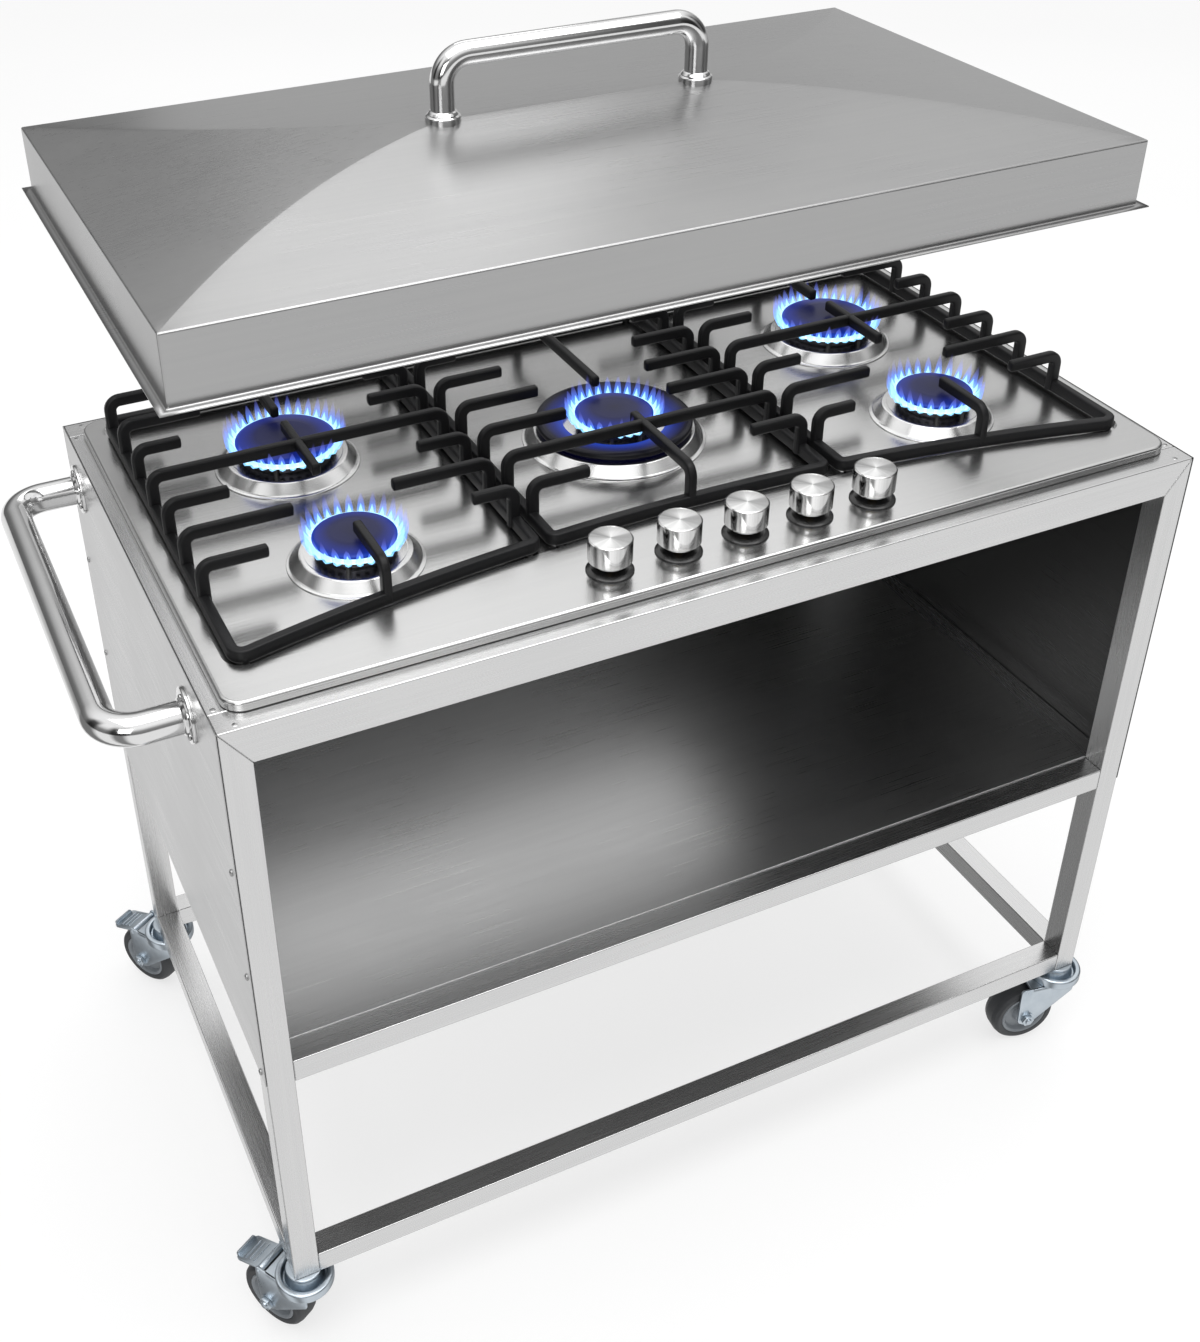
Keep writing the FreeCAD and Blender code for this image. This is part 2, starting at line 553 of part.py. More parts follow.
def make_supports():
    split, gap = dim.support_split, dim.support_gap / 2
    bounds = {"left": (-dim.support_half_length, -split - gap), "centre": (-split + gap, split - gap),
              "right": (split + gap, dim.support_half_length)}
    outer_reach, inner_reach = (48, 78, 46, 0, 60, 100, 62), (80, 46, 60, 0, 52, 96, 44)
    middle_reach = (52, 44, 70, 84, 88, 0, 60)
    front_tip, rear_tip = dim.front_burner_y - dim.finger_width, dim.rear_burner_y + dim.finger_pitch / 2
    cross_y = dim.finger_first - 3 * dim.finger_pitch
    for name in SIDE_BY_SIDE:
        low, high = bounds[name]
        if name == "centre":
            tips = [(0, dim.centre_burner_y - dim.centre_cap_radius, True),
                    (0, dim.centre_burner_y + dim.centre_cap_radius, False)]
            support = make_support(low, high, middle_reach, middle_reach, 5, tips)
        else:
            side = -1 if name == "left" else 1
            x = side * dim.burner_x
            reaches = (outer_reach, inner_reach)[::-side]
            support = make_support(low, high, *reaches, 3, [(x, front_tip, True), (x, rear_tip, False)])
            spoke = loose_spoke(x, cross_y - dim.finger_pitch, dim.rear_burner_y)
            support = support.fuse(spoke).removeSplitter()
        feature(f"{name}_pan_support", support)


# Knobs, valve stems and pipework

def make_knobs():
    top = dim.knob_base + dim.knob_height
    bezels = []
    for number, x in enumerate(KNOB_XS, start=1):
        y = -dim.knob_row
        body = upright(dim.knob_radius, dim.knob_base, top, x, y)
        body = body.makeChamfer(dim.knob_edge, [edge for edge in body.Edges if edge.Closed])
        bore = upright(dim.stem_radius + dim.run_gap, dim.knob_base, dim.knob_base + dim.knob_bore_depth, x, y)
        feature(f"knob_{number}", body.cut(bore))
        axis = (f"dim.knob_centre + {number - 3} * dim.knob_pitch", "-dim.knob_row")
        stem = rod(f"valve_stem_{number}", "dim.stem_radius",
                   "dim.knob_base + dim.knob_bore_depth - dim.fit_gap - dim.hob_top + dim.stem_drop",
                   (*axis, "dim.hob_top - dim.stem_drop"))
        keep(stem, f"valve_stem_{number}")
        ring = rod(f"bezel_ring_{number}", "dim.bezel_radius", "dim.bezel_height", (*axis, "dim.hob_top"))
        hole = rod(f"bezel_hole_{number}", "dim.stem_radius + dim.stem_hole_gap", "dim.bezel_height",
                   (*axis, "dim.hob_top"))
        bezels.append(cut(f"bezel_{number}", ring, hole))
    group("knob_bezels", bezels)


def make_gas_pipes():
    y = -dim.knob_row
    inlet_foot = dim.box_floor - dim.inlet_drop
    inlet_top = inlet_foot + dim.inlet_length
    start_x = KNOB_XS[0] - dim.manifold_overhang
    path = [Vector(start_x, y, dim.manifold_z), Vector(dim.inlet_x, y, dim.manifold_z),
            Vector(dim.inlet_x, dim.inlet_y, dim.manifold_z), Vector(dim.inlet_x, dim.inlet_y, inlet_top)]
    manifold = bent_tube(path, dim.manifold_bend, dim.manifold_radius, dim.manifold_radius - dim.inlet_bore)
    inlet, bore = (upright(radius, inlet_foot, inlet_top, dim.inlet_x, dim.inlet_y)
                   for radius in (dim.inlet_radius, dim.inlet_bore))
    feature("gas_manifold", manifold.fuse(inlet.cut(bore)).removeSplitter())

    rod = Part.makeCylinder(dim.manifold_radius, dim.frame_length,
                            Vector(-dim.frame_length / 2, y, dim.manifold_z), X_AXIS)
    wide, half = dim.valve_width, dim.valve_width / 2
    bodies = [Part.makeBox(wide, wide, dim.valve_height, Vector(x - half, y - half, dim.manifold_z))
              for x in KNOB_XS]
    socket_foot = dim.hob_top - dim.stem_drop - dim.stem_press - dim.fit_gap
    valves = []
    for x, body in zip(KNOB_XS, bodies):
        socket = upright(dim.stem_radius + dim.run_gap, socket_foot, dim.manifold_z + dim.valve_height, x, y)
        valves.append(body.cut([rod, socket]))
    feature("gas_valves", Part.makeCompound(valves))

    feeds = []
    manifold_top = dim.manifold_z + dim.manifold_radius
    level = manifold_top + dim.feed_radius + (dim.valve_height - dim.manifold_radius) / 4
    ordered = [burners()[n] for n in (0, 1, 2, 4, 3)]
    for x, body, burner in zip(KNOB_XS, bodies, ordered):
        start = Vector(x, y, level)
        run = Vector(burner.x, burner.y, level) - start
        pipe = Part.makeCylinder(dim.feed_radius, run.Length, start, run)
        feeds.append(pipe.cut([body, burner_head(burner)]))
    feature("burner_feed_pipes", Part.makeCompound(feeds))


# Casters, each drawn about its swivel axis with the wheel trailing along +X

def lengthwise_cylinder(radius, low, high, x, z):
    return Part.makeCylinder(radius, high - low, Vector(x, low, z), Y_AXIS)


def caster_wheel():
    half, boss = dim.wheel_width / 2, dim.wheel_width / 2 + dim.boss_proud
    radius, soft = dim.wheel_radius, dim.tyre_round
    face = half - dim.hub_recess
    side = [(dim.axle_radius + dim.wheel_run_gap, boss), (dim.boss_radius, boss),
            (dim.boss_radius + soft / 2, face), (dim.hub_radius - soft / 2, face), (dim.hub_radius, half),
            (radius - soft, half), (radius - soft / 4, half - soft / 2), (radius, half - 2 * soft)]
    outline = side + [(r, -y) for r, y in reversed(side)]
    points = [Vector(dim.trail + r, y, dim.wheel_radius) for r, y in [*outline, outline[0]]]
    return Part.Face(Part.makePolygon(points)).revolve(Vector(dim.trail, 0, dim.wheel_radius), Y_AXIS, 360)


def cheek_inner():
    return dim.wheel_width / 2 + dim.cheek_gap


def pedal_pivot():
    return Vector(dim.trail + dim.pedal_pivot_back, 0, dim.roof_height - dim.pedal_pivot_drop)


def caster_fork(braked):
    inner, outer = cheek_inner(), cheek_inner() + dim.cheek_thick
    roof_top = dim.roof_height + dim.roof_thick
    rear = dim.trail + dim.cheek_rear
    foot = dim.cheek_foot
    axle = Vector(dim.trail, 0, dim.wheel_radius)
    sides = [(-dim.cheek_front, roof_top), (rear, roof_top), (rear, dim.roof_height - foot),
             (axle.x + foot, axle.z), (axle.x - foot, axle.z), (-dim.cheek_front, dim.roof_height - foot)]
    profile = [Vector(x, 0, z) for x, z in [*sides, sides[0]]]
    plate = Part.Face(Part.makePolygon(profile)).extrude(Vector(0, dim.cheek_thick, 0))
    plate = plate.fuse(lengthwise_cylinder(foot, 0, dim.cheek_thick, axle.x, axle.z)).removeSplitter()
    cheeks = []
    for low in (-outer, inner):
        cheek = plate.copy()
        cheek.translate(Vector(0, low, 0))
        cheeks.append(cheek)
    roof = Part.makeBox(dim.trail + dim.cheek_front, 2 * outer, dim.roof_thick,
                        Vector(-dim.cheek_front, -outer, dim.roof_height))
    race_foot, race_top = roof_top, roof_top + dim.race_floor + dim.race_rim
    race = upright(dim.race_radius, race_foot, race_top, 0, 0)
    race = race.makeFillet(dim.race_floor / 2, [edge for edge in race.Edges if edge.Closed])
    race = race.cut(upright(dim.race_radius - dim.race_wall, race_foot + dim.race_floor, race_top, 0, 0))
    bores = [upright(dim.kingpin_radius + dim.run_gap, dim.roof_height, race_top, 0, 0),
             lengthwise_cylinder(dim.axle_radius + dim.cheek_hole_gap, -outer, outer, axle.x, axle.z)]
    if braked:
        pivot = pedal_pivot()
        bores.append(lengthwise_cylinder(dim.pedal_pin_radius + dim.run_gap, -outer, outer, pivot.x, pivot.z))
    return roof.fuse(cheeks + [race]).removeSplitter().cut(bores)


def hexagon(flats, low, high, x, z):
    radius = flats / math.sqrt(3)
    turns = [math.radians(60 * n) for n in range(7)]
    points = [Vector(x + radius * math.cos(turn), low, z + radius * math.sin(turn)) for turn in turns]
    return Part.Face(Part.makePolygon(points)).extrude(Vector(0, high - low, 0))


def caster_axle():
    outer = cheek_inner() + dim.cheek_thick
    end = outer + dim.axle_head
    bolt = lengthwise_cylinder(dim.axle_radius, -end, end + dim.axle_radius / 2, dim.trail, dim.wheel_radius)
    heads = [hexagon(dim.axle_head_flats, low, low + dim.axle_head, dim.trail, dim.wheel_radius)
             for low in (-end, outer)]
    return bolt.fuse(heads).removeSplitter()


def caster_stem():
    """The fixed half: a plug in the leg, a plate under it, the race dome and the riveted kingpin."""
    dome_foot = dim.roof_height + dim.roof_thick + dim.race_floor + dim.kingpin_gap
    plate_top, plate_foot = dim.caster_height, dim.caster_height - dim.plate_thick
    head_top = dim.roof_height - dim.kingpin_gap
    head_foot = head_top - dim.kingpin_head
    plug_top = dim.caster_height + dim.plug_length
    head, pin, plate, plug = dim.kingpin_head_radius, dim.kingpin_radius, dim.plate_radius, dim.plug_radius
    return turned([(0, head_foot), (head, head_foot), (head, head_top), (pin, head_top), (pin, dome_foot),
                   (dim.dome_radius, dome_foot), (dim.dome_top_radius, plate_foot), (plate, plate_foot),
                   (plate, plate_top), (plug, plate_top), (plug, plug_top), (0, plug_top)], 0, 0)


def brake_pedal():
    """A tread plate on a barrel and pin between the fork's cheeks, with a lip at its outer end."""
    pivot = pedal_pivot()
    inside = cheek_inner() - dim.pedal_side_gap
    outer = cheek_inner() + dim.cheek_thick
    thick = dim.pedal_thick
    plate = Part.makeBox(dim.pedal_length, 2 * inside, thick, Vector(0, -inside, -thick / 2))
    lip = Part.makeBox(thick, 2 * inside, dim.pedal_lip, Vector(dim.pedal_length - thick, -inside, -thick / 2))
    tread = plate.fuse(lip)
    tread.rotate(Vector(), Y_AXIS, dim.pedal_angle)
    tread.translate(pivot)
    barrel = lengthwise_cylinder(dim.pedal_barrel_radius, -inside, inside, pivot.x, pivot.z)
    pin = lengthwise_cylinder(dim.pedal_pin_radius, -outer, outer, pivot.x, pivot.z)
    return tread.fuse([barrel, pin]).removeSplitter()


def make_casters():
    stems = []
    for name, (x_side, y_side) in CORNERS.items():
        spot = Vector(x_side * (dim.frame_length - dim.tube) / 2, y_side * (dim.frame_depth - dim.tube) / 2, 0)
        heading = getattr(dim, f"{name}_heading")
        place = Placement(spot, Rotation(Z_AXIS, heading))
        braked = name in BRAKED
        feature(f"{name}_fork", caster_fork(braked), place)
        feature(f"{name}_axle", caster_axle(), place)
        feature(f"{name}_wheel", caster_wheel(), place)
        if braked:
            feature(f"{name}_brake_pedal", brake_pedal(), place)
        stem = caster_stem()
        stem.translate(spot)
        stems.append(stem)
    feature("caster_stems", Part.makeCompound(stems))


# Lid

def hipped_solid(low, high, eaves, ridge_half, ridge_z):
    """A box with a hipped top: four sloping faces that meet in a ridge along X."""
    middle_x, middle_y = (low.x + high.x) / 2, (low.y + high.y) / 2
    plan = [(low.x, low.y), (high.x, low.y), (high.x, high.y), (low.x, high.y)]
    base = [Vector(x, y, low.z) for x, y in plan]
    rim = [Vector(x, y, eaves) for x, y in plan]
    left, right = (Vector(middle_x + side * ridge_half, middle_y, ridge_z) for side in (-1, 1))
    outlines = [base[::-1], [rim[0], rim[1], right, left], [rim[1], rim[2], right],
                [rim[2], rim[3], left, right], [rim[3], rim[0], left]]
    outlines += [[base[n], base[(n + 1) % 4], rim[(n + 1) % 4], rim[n]] for n in range(4)]
    faces = [Part.Face(Part.makePolygon([*outline, outline[0]])) for outline in outlines]
    return Part.Solid(Part.Shell(faces))


def make_lid():
    lift = Vector(dim.lid_side, dim.lid_back, dim.lid_rise)
    wall, flange = dim.lid_wall, dim.lid_flange
    foot = dim.frame_height + dim.lid_seat_gap
    half_length, half_depth = dim.hob_length / 2, dim.hob_depth / 2
    low = Vector(-half_length - dim.lid_end_gap - wall, -half_depth - dim.lid_front_gap - wall, foot)
    high = Vector(-low.x, half_depth + dim.lid_rear_gap + wall, foot)
    eaves, ridge = foot + dim.lid_skirt, foot + dim.lid_skirt + dim.lid_hip
    inset = Vector(wall, wall, 0)
    shell = hipped_solid(low, high, eaves, dim.lid_ridge / 2, ridge)
    rim = Part.makeBox(high.x - low.x + 2 * flange, high.y - low.y + 2 * flange, wall,
                       low - Vector(flange, flange, 0))
    inside = hipped_solid(low + inset - Vector(0, 0, wall), high - inset, eaves - wall,
                          dim.lid_ridge / 2, ridge - wall)
    shell = shell.fuse(rim).cut(inside)
    middle_y = (low.y + high.y) / 2
    feet = [Vector(side * dim.lid_bar_spread / 2, middle_y, ridge) for side in (-1, 1)]
    collars = []
    for spot in feet:
        collar = upright(dim.collar_radius, eaves, ridge + dim.collar_height, spot.x, spot.y)
        collars.append(collar.cut(hipped_solid(low, high, eaves, dim.lid_ridge / 2, ridge)))
    up = Vector(0, 0, dim.lid_bar_rise)
    start = Vector(0, 0, dim.collar_height)
    bar = bent_tube([feet[0] + start, feet[0] + up, feet[1] + up, feet[1] + start],
                    dim.lid_bar_bend, dim.lid_bar_radius, dim.lid_bar_wall)
    for label, shape in (("lid_shell", shell.removeSplitter()), ("lid_handle", bar),
                         ("lid_handle_collars", Part.makeCompound(collars))):
        shape.translate(lift)
        feature(label, shape)


make_frame()
make_sheets()
make_panel_screws()
make_push_handle()
make_hob()
make_burners()
make_supports()
make_knobs()
make_gas_pipes()
make_casters()
make_lid()
doc.recompute()

for item in doc.Objects:
    if "Invalid" in item.State or "Error" in item.State:
        raise RuntimeError(f"{item.Label} failed: {item.State}")
for piece in parts:
    if piece.Shape.isNull() or not piece.Shape.isValid() or not piece.Shape.Solids:
        raise RuntimeError(f"{piece.Label} has no valid solid")

os.makedirs("parts", exist_ok=True)
for piece in parts:
    piece.Shape.exportStep(f"parts/{piece.Label}.step")
    print(piece.Label, len(piece.Shape.Solids), "solids", round(piece.Shape.Volume, 1), "mm3")
print(len(parts), "sub-parts")
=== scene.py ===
import math

import bmesh
import bpy
from mathutils import Matrix, Vector


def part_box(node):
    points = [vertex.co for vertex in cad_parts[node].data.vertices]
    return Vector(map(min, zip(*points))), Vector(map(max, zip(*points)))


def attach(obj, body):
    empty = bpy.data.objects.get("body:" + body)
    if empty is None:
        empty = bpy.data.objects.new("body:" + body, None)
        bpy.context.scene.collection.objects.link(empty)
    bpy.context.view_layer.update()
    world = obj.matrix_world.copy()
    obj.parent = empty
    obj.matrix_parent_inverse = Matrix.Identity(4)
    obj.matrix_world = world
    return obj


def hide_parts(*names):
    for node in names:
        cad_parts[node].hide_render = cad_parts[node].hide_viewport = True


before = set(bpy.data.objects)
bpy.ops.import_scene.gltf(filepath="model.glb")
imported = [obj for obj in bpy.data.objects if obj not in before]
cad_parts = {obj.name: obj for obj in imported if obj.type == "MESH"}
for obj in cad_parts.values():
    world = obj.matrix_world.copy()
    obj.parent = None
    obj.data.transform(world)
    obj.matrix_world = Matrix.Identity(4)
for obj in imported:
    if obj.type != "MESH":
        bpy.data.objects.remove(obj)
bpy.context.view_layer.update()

# Directions and fineness
RIGHT, BACK, UP = Vector((1, 0, 0)), Vector((0, 1, 0)), Vector((0, 0, 1))
FULL_TURN = 2 * math.pi
ROUND_STEPS, FINE_STEPS, SMALL_STEPS = 64, 96, 20
MERGE_DISTANCE = 2e-6
MM = 0.001

# Levels read from the frame
FRAME_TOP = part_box("top_long_tubes")[1].z
HOB_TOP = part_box("hob_panel")[1].z
WELL_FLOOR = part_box("burner_dishes")[0].z
DISH_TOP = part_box("outer_flame_ring")[0].z
CAP_BASE, CAP_TOP = (corner.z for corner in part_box("burner_caps"))
SUPPORT_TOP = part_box("left_pan_support")[1].z

# Burners: middle, cap radius, dish radius and number of flames
BURNER_X = 0.294
BURNERS = {
    "front_left": (-BURNER_X, -0.094, 0.036, 0.059, 26),
    "rear_left": (-BURNER_X, 0.090, 0.046, 0.067, 34),
    "centre": (0.0, 0.003, 0.037, 0.087, 28),
    "front_right": (BURNER_X, -0.094, 0.036, 0.059, 26),
    "rear_right": (BURNER_X, 0.090, 0.046, 0.067, 34),
}
CROWN_INSET = 0.005
BURNER_STEM = 0.0202
RING_INNER, RING_OUTER = 0.049, 0.074
FLAME_FOOT, FLAME_TIP = CAP_BASE - 0.004, CAP_BASE + 0.024

# Pan supports
SUPPORT_HALF_LENGTH, SUPPORT_BACK = 0.433, 0.227
FRONT_MIDDLE, FRONT_END = -0.147, -0.201
BAR_WIDTH, BAR_HEIGHT, BAR_LIFT = 0.009, 0.012, 0.002
FINGER_WIDTH, FINGER_THICK, FINGER_BEND = 0.008, 0.011, 0.0095
FINGER_FIRST, FINGER_PITCH, FINGER_TIP = 0.206, 0.052, 0.0022
CAST_ROUND = 0.0024
OUTER_REACH = (0.048, 0.078, 0.046, 0, 0.060, 0.100, 0.062)
INNER_REACH = (0.080, 0.046, 0.060, 0, 0.052, 0.096, 0.044)
MIDDLE_REACH = (0.052, 0.044, 0.070, 0.084, 0.088, 0, 0.060)
OUTER_TIPS, CROSS_OVERLAP = (-0.102, 0.116), 0.004

# Handles, screws and rivets
PUSH_FLANGE, FLANGE_SCREW_CIRCLE = 0.024, 0.0185
PUSH_BEND, LID_BEND = 0.048, 0.036
SCREW_RADIUS, PANEL_HEAD, FLANGE_HEAD, SCREW_STEPS = 0.003, 0.0016, 0.0018, 18
RIVET_SPOTS = ((0.459, 0.232), (0.449, 0.256))
RIVET_FOOT, RIVET_TOP, RIVET_RISE = 0.0026, 0.0022, 0.00015

# Lid: its rim, skirt and wall, and half of its ridge
LID_FLANGE, LID_SKIRT, LID_WALL = 0.008, 0.062, 0.001
LID_RIDGE_HALF = 0.128

# Casters: corner of the frame, and the way the wheel trails, in degrees
CASTERS = {
    "front_left": (-1, -1, 120),
    "front_right": (1, -1, 170),
    "rear_left": (-1, 1, 122),
    "rear_right": (1, 1, 160),
}
LEG_X, LEG_Y = 0.4525, 0.250
TRAIL, WHEEL_RADIUS, WHEEL_HALF = 0.037, 0.0375, 0.014
CHEEK_INNER, CHEEK_THICK = 0.016, 0.0025
ROOF_Z, ROOF_THICK = 0.080, 0.004
PEDAL_PIVOT = Vector((TRAIL + 0.008, 0, ROOF_Z - 0.001))
AXLE = Matrix.Translation((TRAIL, 0, WHEEL_RADIUS)) @ Matrix.Rotation(-math.pi / 2, 4, "X")

# Steels: dark and light streaks, painted shade on a sheet's hidden side, and the turn of the painted
# highlight fans on turned steel
STEEL_DARK, STEEL_LIGHT = (0.62, 0.62, 0.625), (0.75, 0.75, 0.745)
SHEET_DARK, SHEET_LIGHT = (0.64, 0.64, 0.645), (0.76, 0.76, 0.755)
PANEL_DARK, PANEL_LIGHT = (0.55, 0.55, 0.555), (0.65, 0.65, 0.645)
HOB_DARK, HOB_LIGHT = (0.60, 0.60, 0.60), (0.68, 0.68, 0.675)
# The lid's steel is a darker copy of the other steels: painted shade
LID_SHADED_DARK, LID_SHADED_LIGHT = (0.39, 0.39, 0.395), (0.47, 0.47, 0.465)
# Painted shade on a sheet's hidden side: its dark colour and fade, and where it starts under the shelf's top
# and behind its lip
PAINTED_SHADE_STEEL, PAINTED_SHADE_FADE = (0.12, 0.12, 0.12), 0.0002
UNDER_SHELF, BEHIND_LIP = 0.0009, 0.0011
# The turn of the painted highlight fans on turned steel
PAINTED_FAN_TURN = math.radians(100)

# Softened edges of the kept nodes
TUBE_EDGE, SHEET_EDGE, SHELF_EDGE, VALVE_EDGE = 0.0012, 0.0003, 0.0002, 0.0006

# The camera of the photograph: place, axes, focal length and middle in pixels of its frame
PHOTO_WIDTH, PHOTO_HEIGHT = 1200, 1342
CAMERA_PLACE = Vector((-0.6534, -1.2204, 1.5354))
CAMERA_RIGHT = Vector((0.90617, -0.42278, -0.01116))
CAMERA_DOWN = Vector((-0.24044, -0.4933, -0.83597))
FOCAL_PIXELS = 1665.7
MIDDLE_PIXEL = (525.5, 565.1)
SENSOR = 36.0


# Shader expressions

class Value:
    """A shader socket that works in Python arithmetic: each operator adds a Math node."""

    def __init__(self, nodes, socket):
        self.nodes, self.socket = nodes, socket

    def maths(self, operation, first, second):
        return self.nodes.node("ShaderNodeMath", {"operation": operation}, {0: first, 1: second})

    def __add__(self, other):
        return self.maths("ADD", self, other)

    def __radd__(self, other):
        return self.maths("ADD", other, self)

    def __sub__(self, other):
        return self.maths("SUBTRACT", self, other)

    def __rsub__(self, other):
        return self.maths("SUBTRACT", other, self)

    def __mul__(self, other):
        return self.maths("MULTIPLY", self, other)

    def __rmul__(self, other):
        return self.maths("MULTIPLY", other, self)

    def __truediv__(self, other):
        return self.maths("DIVIDE", self, other)

    def __pow__(self, other):
        return self.maths("POWER", self, other)


class NodeTree:
    """A node tree, and short ways of adding nodes to it."""

    def __init__(self, tree):
        self.tree = tree

    def node(self, kind, settings=None, inputs=None, output=0):
        made = self.tree.nodes.new(kind)
        for name, value in (settings or {}).items():
            if name == "stops":
                self.set_stops(made.color_ramp, value)
            else:
                setattr(made, name, value)
        for name, value in (inputs or {}).items():
            self.feed(made.inputs[name], value)
        return Value(self, made.outputs[output])

    def set_stops(self, ramp, stops):
        while len(ramp.elements) < len(stops):
            ramp.elements.new(1.0)
        for element, (position, colour) in zip(ramp.elements, stops):
            element.position = position
            element.color = (*colour, 1.0)

    def feed(self, socket, value):
        if isinstance(value, Value):
            self.tree.links.new(value.socket, socket)
        else:
            socket.default_value = value

    def clamp(self, value):
        return self.node("ShaderNodeClamp", None, {"Value": value})

    def ramp(self, value, stops):
        return self.node("ShaderNodeValToRGB", {"stops": stops}, {"Fac": value})

    def part(self, vector, axis):
        """One of a vector's three numbers."""
        return self.node("ShaderNodeSeparateXYZ", None, {0: vector}, axis)


class Finish(NodeTree):
    """A procedural material for one of the cart's surfaces."""

    def __init__(self, name, **constants):
        self.material = bpy.data.materials.new(name)
        self.material.use_nodes = True
        super().__init__(self.material.node_tree)
        self.shader = self.tree.nodes["Principled BSDF"]
        self.surface(**constants)

    def surface(self, **sockets):
        """Feeds the shader; underscores in the names stand for spaces."""
        for name, value in sockets.items():
            self.feed(self.shader.inputs[name.replace("_", " ")], value)

    def place(self):
        return self.node("ShaderNodeTexCoord", output="Object")

    def noise(self, scale, detail=3.0, stretch=(1, 1, 1), roughness=0.55):
        where = self.node("ShaderNodeMapping", None, {"Vector": self.place(), "Scale": stretch})
        return self.node("ShaderNodeTexNoise", None,
                         {"Vector": where, "Scale": scale, "Detail": detail, "Roughness": roughness})

    def noise_along(self, value, scale, detail):
        inputs = {"W": value, "Scale": scale, "Detail": detail}
        return self.node("ShaderNodeTexNoise", {"noise_dimensions": "1D"}, inputs)

    def blend(self, share, first, second):
        """A mix of two colours, each three numbers or a socket."""
        first, second = (side if isinstance(side, Value) else (*side, 1) for side in (first, second))
        return self.node("ShaderNodeMix", {"data_type": "RGBA"}, {0: share, 6: first, 7: second}, 2)

    def bump(self, height, depth, strength):
        inputs = {"Height": height, "Distance": depth, "Strength": strength}
        self.surface(Normal=self.node("ShaderNodeBump", None, inputs))


def brushed_steel(name, along, roughness=0.27, dark=STEEL_DARK, light=STEEL_LIGHT):
    """Brushed stainless steel: long fine streaks along one axis, over slow cloudy changes."""
    steel = Finish(name, Metallic=1.0)
    stretch = [1.0, 1.0, 1.0]
    stretch[along] = 0.012
    fine = steel.noise(900, 2.0, stretch)
    broad = steel.noise(190, 3.0, stretch)
    cloud = steel.noise(5, 3.0)
    steel.surface(Base_Color=steel.blend(0.5 * broad + 0.5 * cloud, dark, light),
                  Roughness=roughness - 0.12 + 0.13 * fine + 0.11 * cloud)
    steel.bump(0.7 * fine + 0.3 * broad, 0.00012, 0.45)
    return steel


def painted_shade_inside(steel, *limits):
    """Paints shade on a sheet's hidden side: the base colour goes dark past each limit. A limit is an axis, a
    level on it, and 1 for below or -1 for above.
    """
    shaded_share = 1.0
    for axis, level, side in limits:
        past = (level - steel.part(steel.place(), axis)) * side
        shaded_share = shaded_share * steel.clamp(0.5 + past / PAINTED_SHADE_FADE)
    bright = Value(steel, steel.shader.inputs["Base Color"].links[0].from_socket)
    steel.surface(Base_Color=steel.blend(shaded_share, bright, PAINTED_SHADE_STEEL))
    return steel


def polished_steel(name, tint=(0.80, 0.80, 0.80), roughness=0.07):
    """Mirror-polished steel with faint wipe marks."""
    steel = Finish(name, Metallic=1.0)
    marks = steel.noise(38, 4.0)
    grain = steel.noise(420, 2.0)
    steel.surface(Base_Color=steel.blend(marks, [0.9 * part for part in tint], tint),
                  Roughness=roughness + 0.07 * marks)
    steel.bump(grain, 0.00003, 0.3)
    return steel


def polar(finish, x, y):
    """How far a point lies from an upright axis, and its turn about it."""
    spot = finish.node("ShaderNodeVectorMath", {"operation": "SUBTRACT"}, {0: finish.place(), 1: (x, y, 0)})
    across, along = (finish.part(spot, axis) for axis in "XY")
    return (across * across + along * along) ** 0.5, across.maths("ARCTAN2", along, across)


def turned_steel_painted_fans(name, x, y, dark, light, roughness):
    """Steel turned on a lathe: fine rings of grain, with painted highlight fans and spokes about the axis in
    its base colour.
    """
    steel = Finish(name, Metallic=1.0, Anisotropic=0.5)
    away, turn = polar(steel, x, y)
    rings = steel.noise_along(away, 1500, 2.0)
    # Painted highlight: spokes and fans by the turn about the axis brighten and darken the base colour
    spokes = steel.noise_along(turn, 1.6, 3.0)
    fans = steel.node("ShaderNodeMath", {"operation": "COSINE"}, {0: 2 * turn - PAINTED_FAN_TURN})
    share = steel.clamp(0.4 * fans + spokes + 0.1 * rings)
    steel.surface(Base_Color=steel.blend(share, dark, light), Roughness=roughness - 0.04 + 0.08 * rings)
    steel.bump(rings, 0.00002, 0.4)
    return steel


def cast_black(name, tint=(0.007, 0.007, 0.0075), roughness=0.36, grain=0.00025):
    """Black-coated casting: a fine grainy skin with a soft sheen."""
    iron = Finish(name, Specular_IOR_Level=0.22)
    skin = iron.noise(700, 3.0)
    patch = iron.noise(28, 3.0)
    iron.surface(Base_Color=iron.blend(patch, tint, [1.9 * part for part in tint]),
                 Roughness=roughness - 0.08 + 0.1 * skin + 0.1 * patch)
    iron.bump(skin, grain, 0.5)
    return iron


def zinc_plate():
    """Bluish zinc-plated pressings with a cloudy bloom."""
    zinc = Finish("zinc_plate", Metallic=1.0)
    cloud = zinc.noise(60, 4.0)
    grain = zinc.noise(600, 2.0)
    zinc.surface(Base_Color=zinc.blend(cloud, (0.40, 0.46, 0.52), (0.66, 0.72, 0.77)),
                 Roughness=0.2 + 0.16 * cloud + 0.05 * grain)
    zinc.bump(grain, 0.00008, 0.4)
    return zinc


def moulded(name, dark, light, roughness=0.5, grain=0.0002):
    """Moulded rubber or plastic with a fine skin and slight scuffs."""
    skin_finish = Finish(name)
    skin = skin_finish.noise(500, 3.0)
    scuff = skin_finish.noise(45, 5.0)
    skin_finish.surface(Base_Color=skin_finish.blend(scuff, dark, light),
                        Roughness=roughness - 0.06 + 0.08 * skin + 0.08 * scuff)
    skin_finish.bump(skin, grain, 0.4)
    return skin_finish


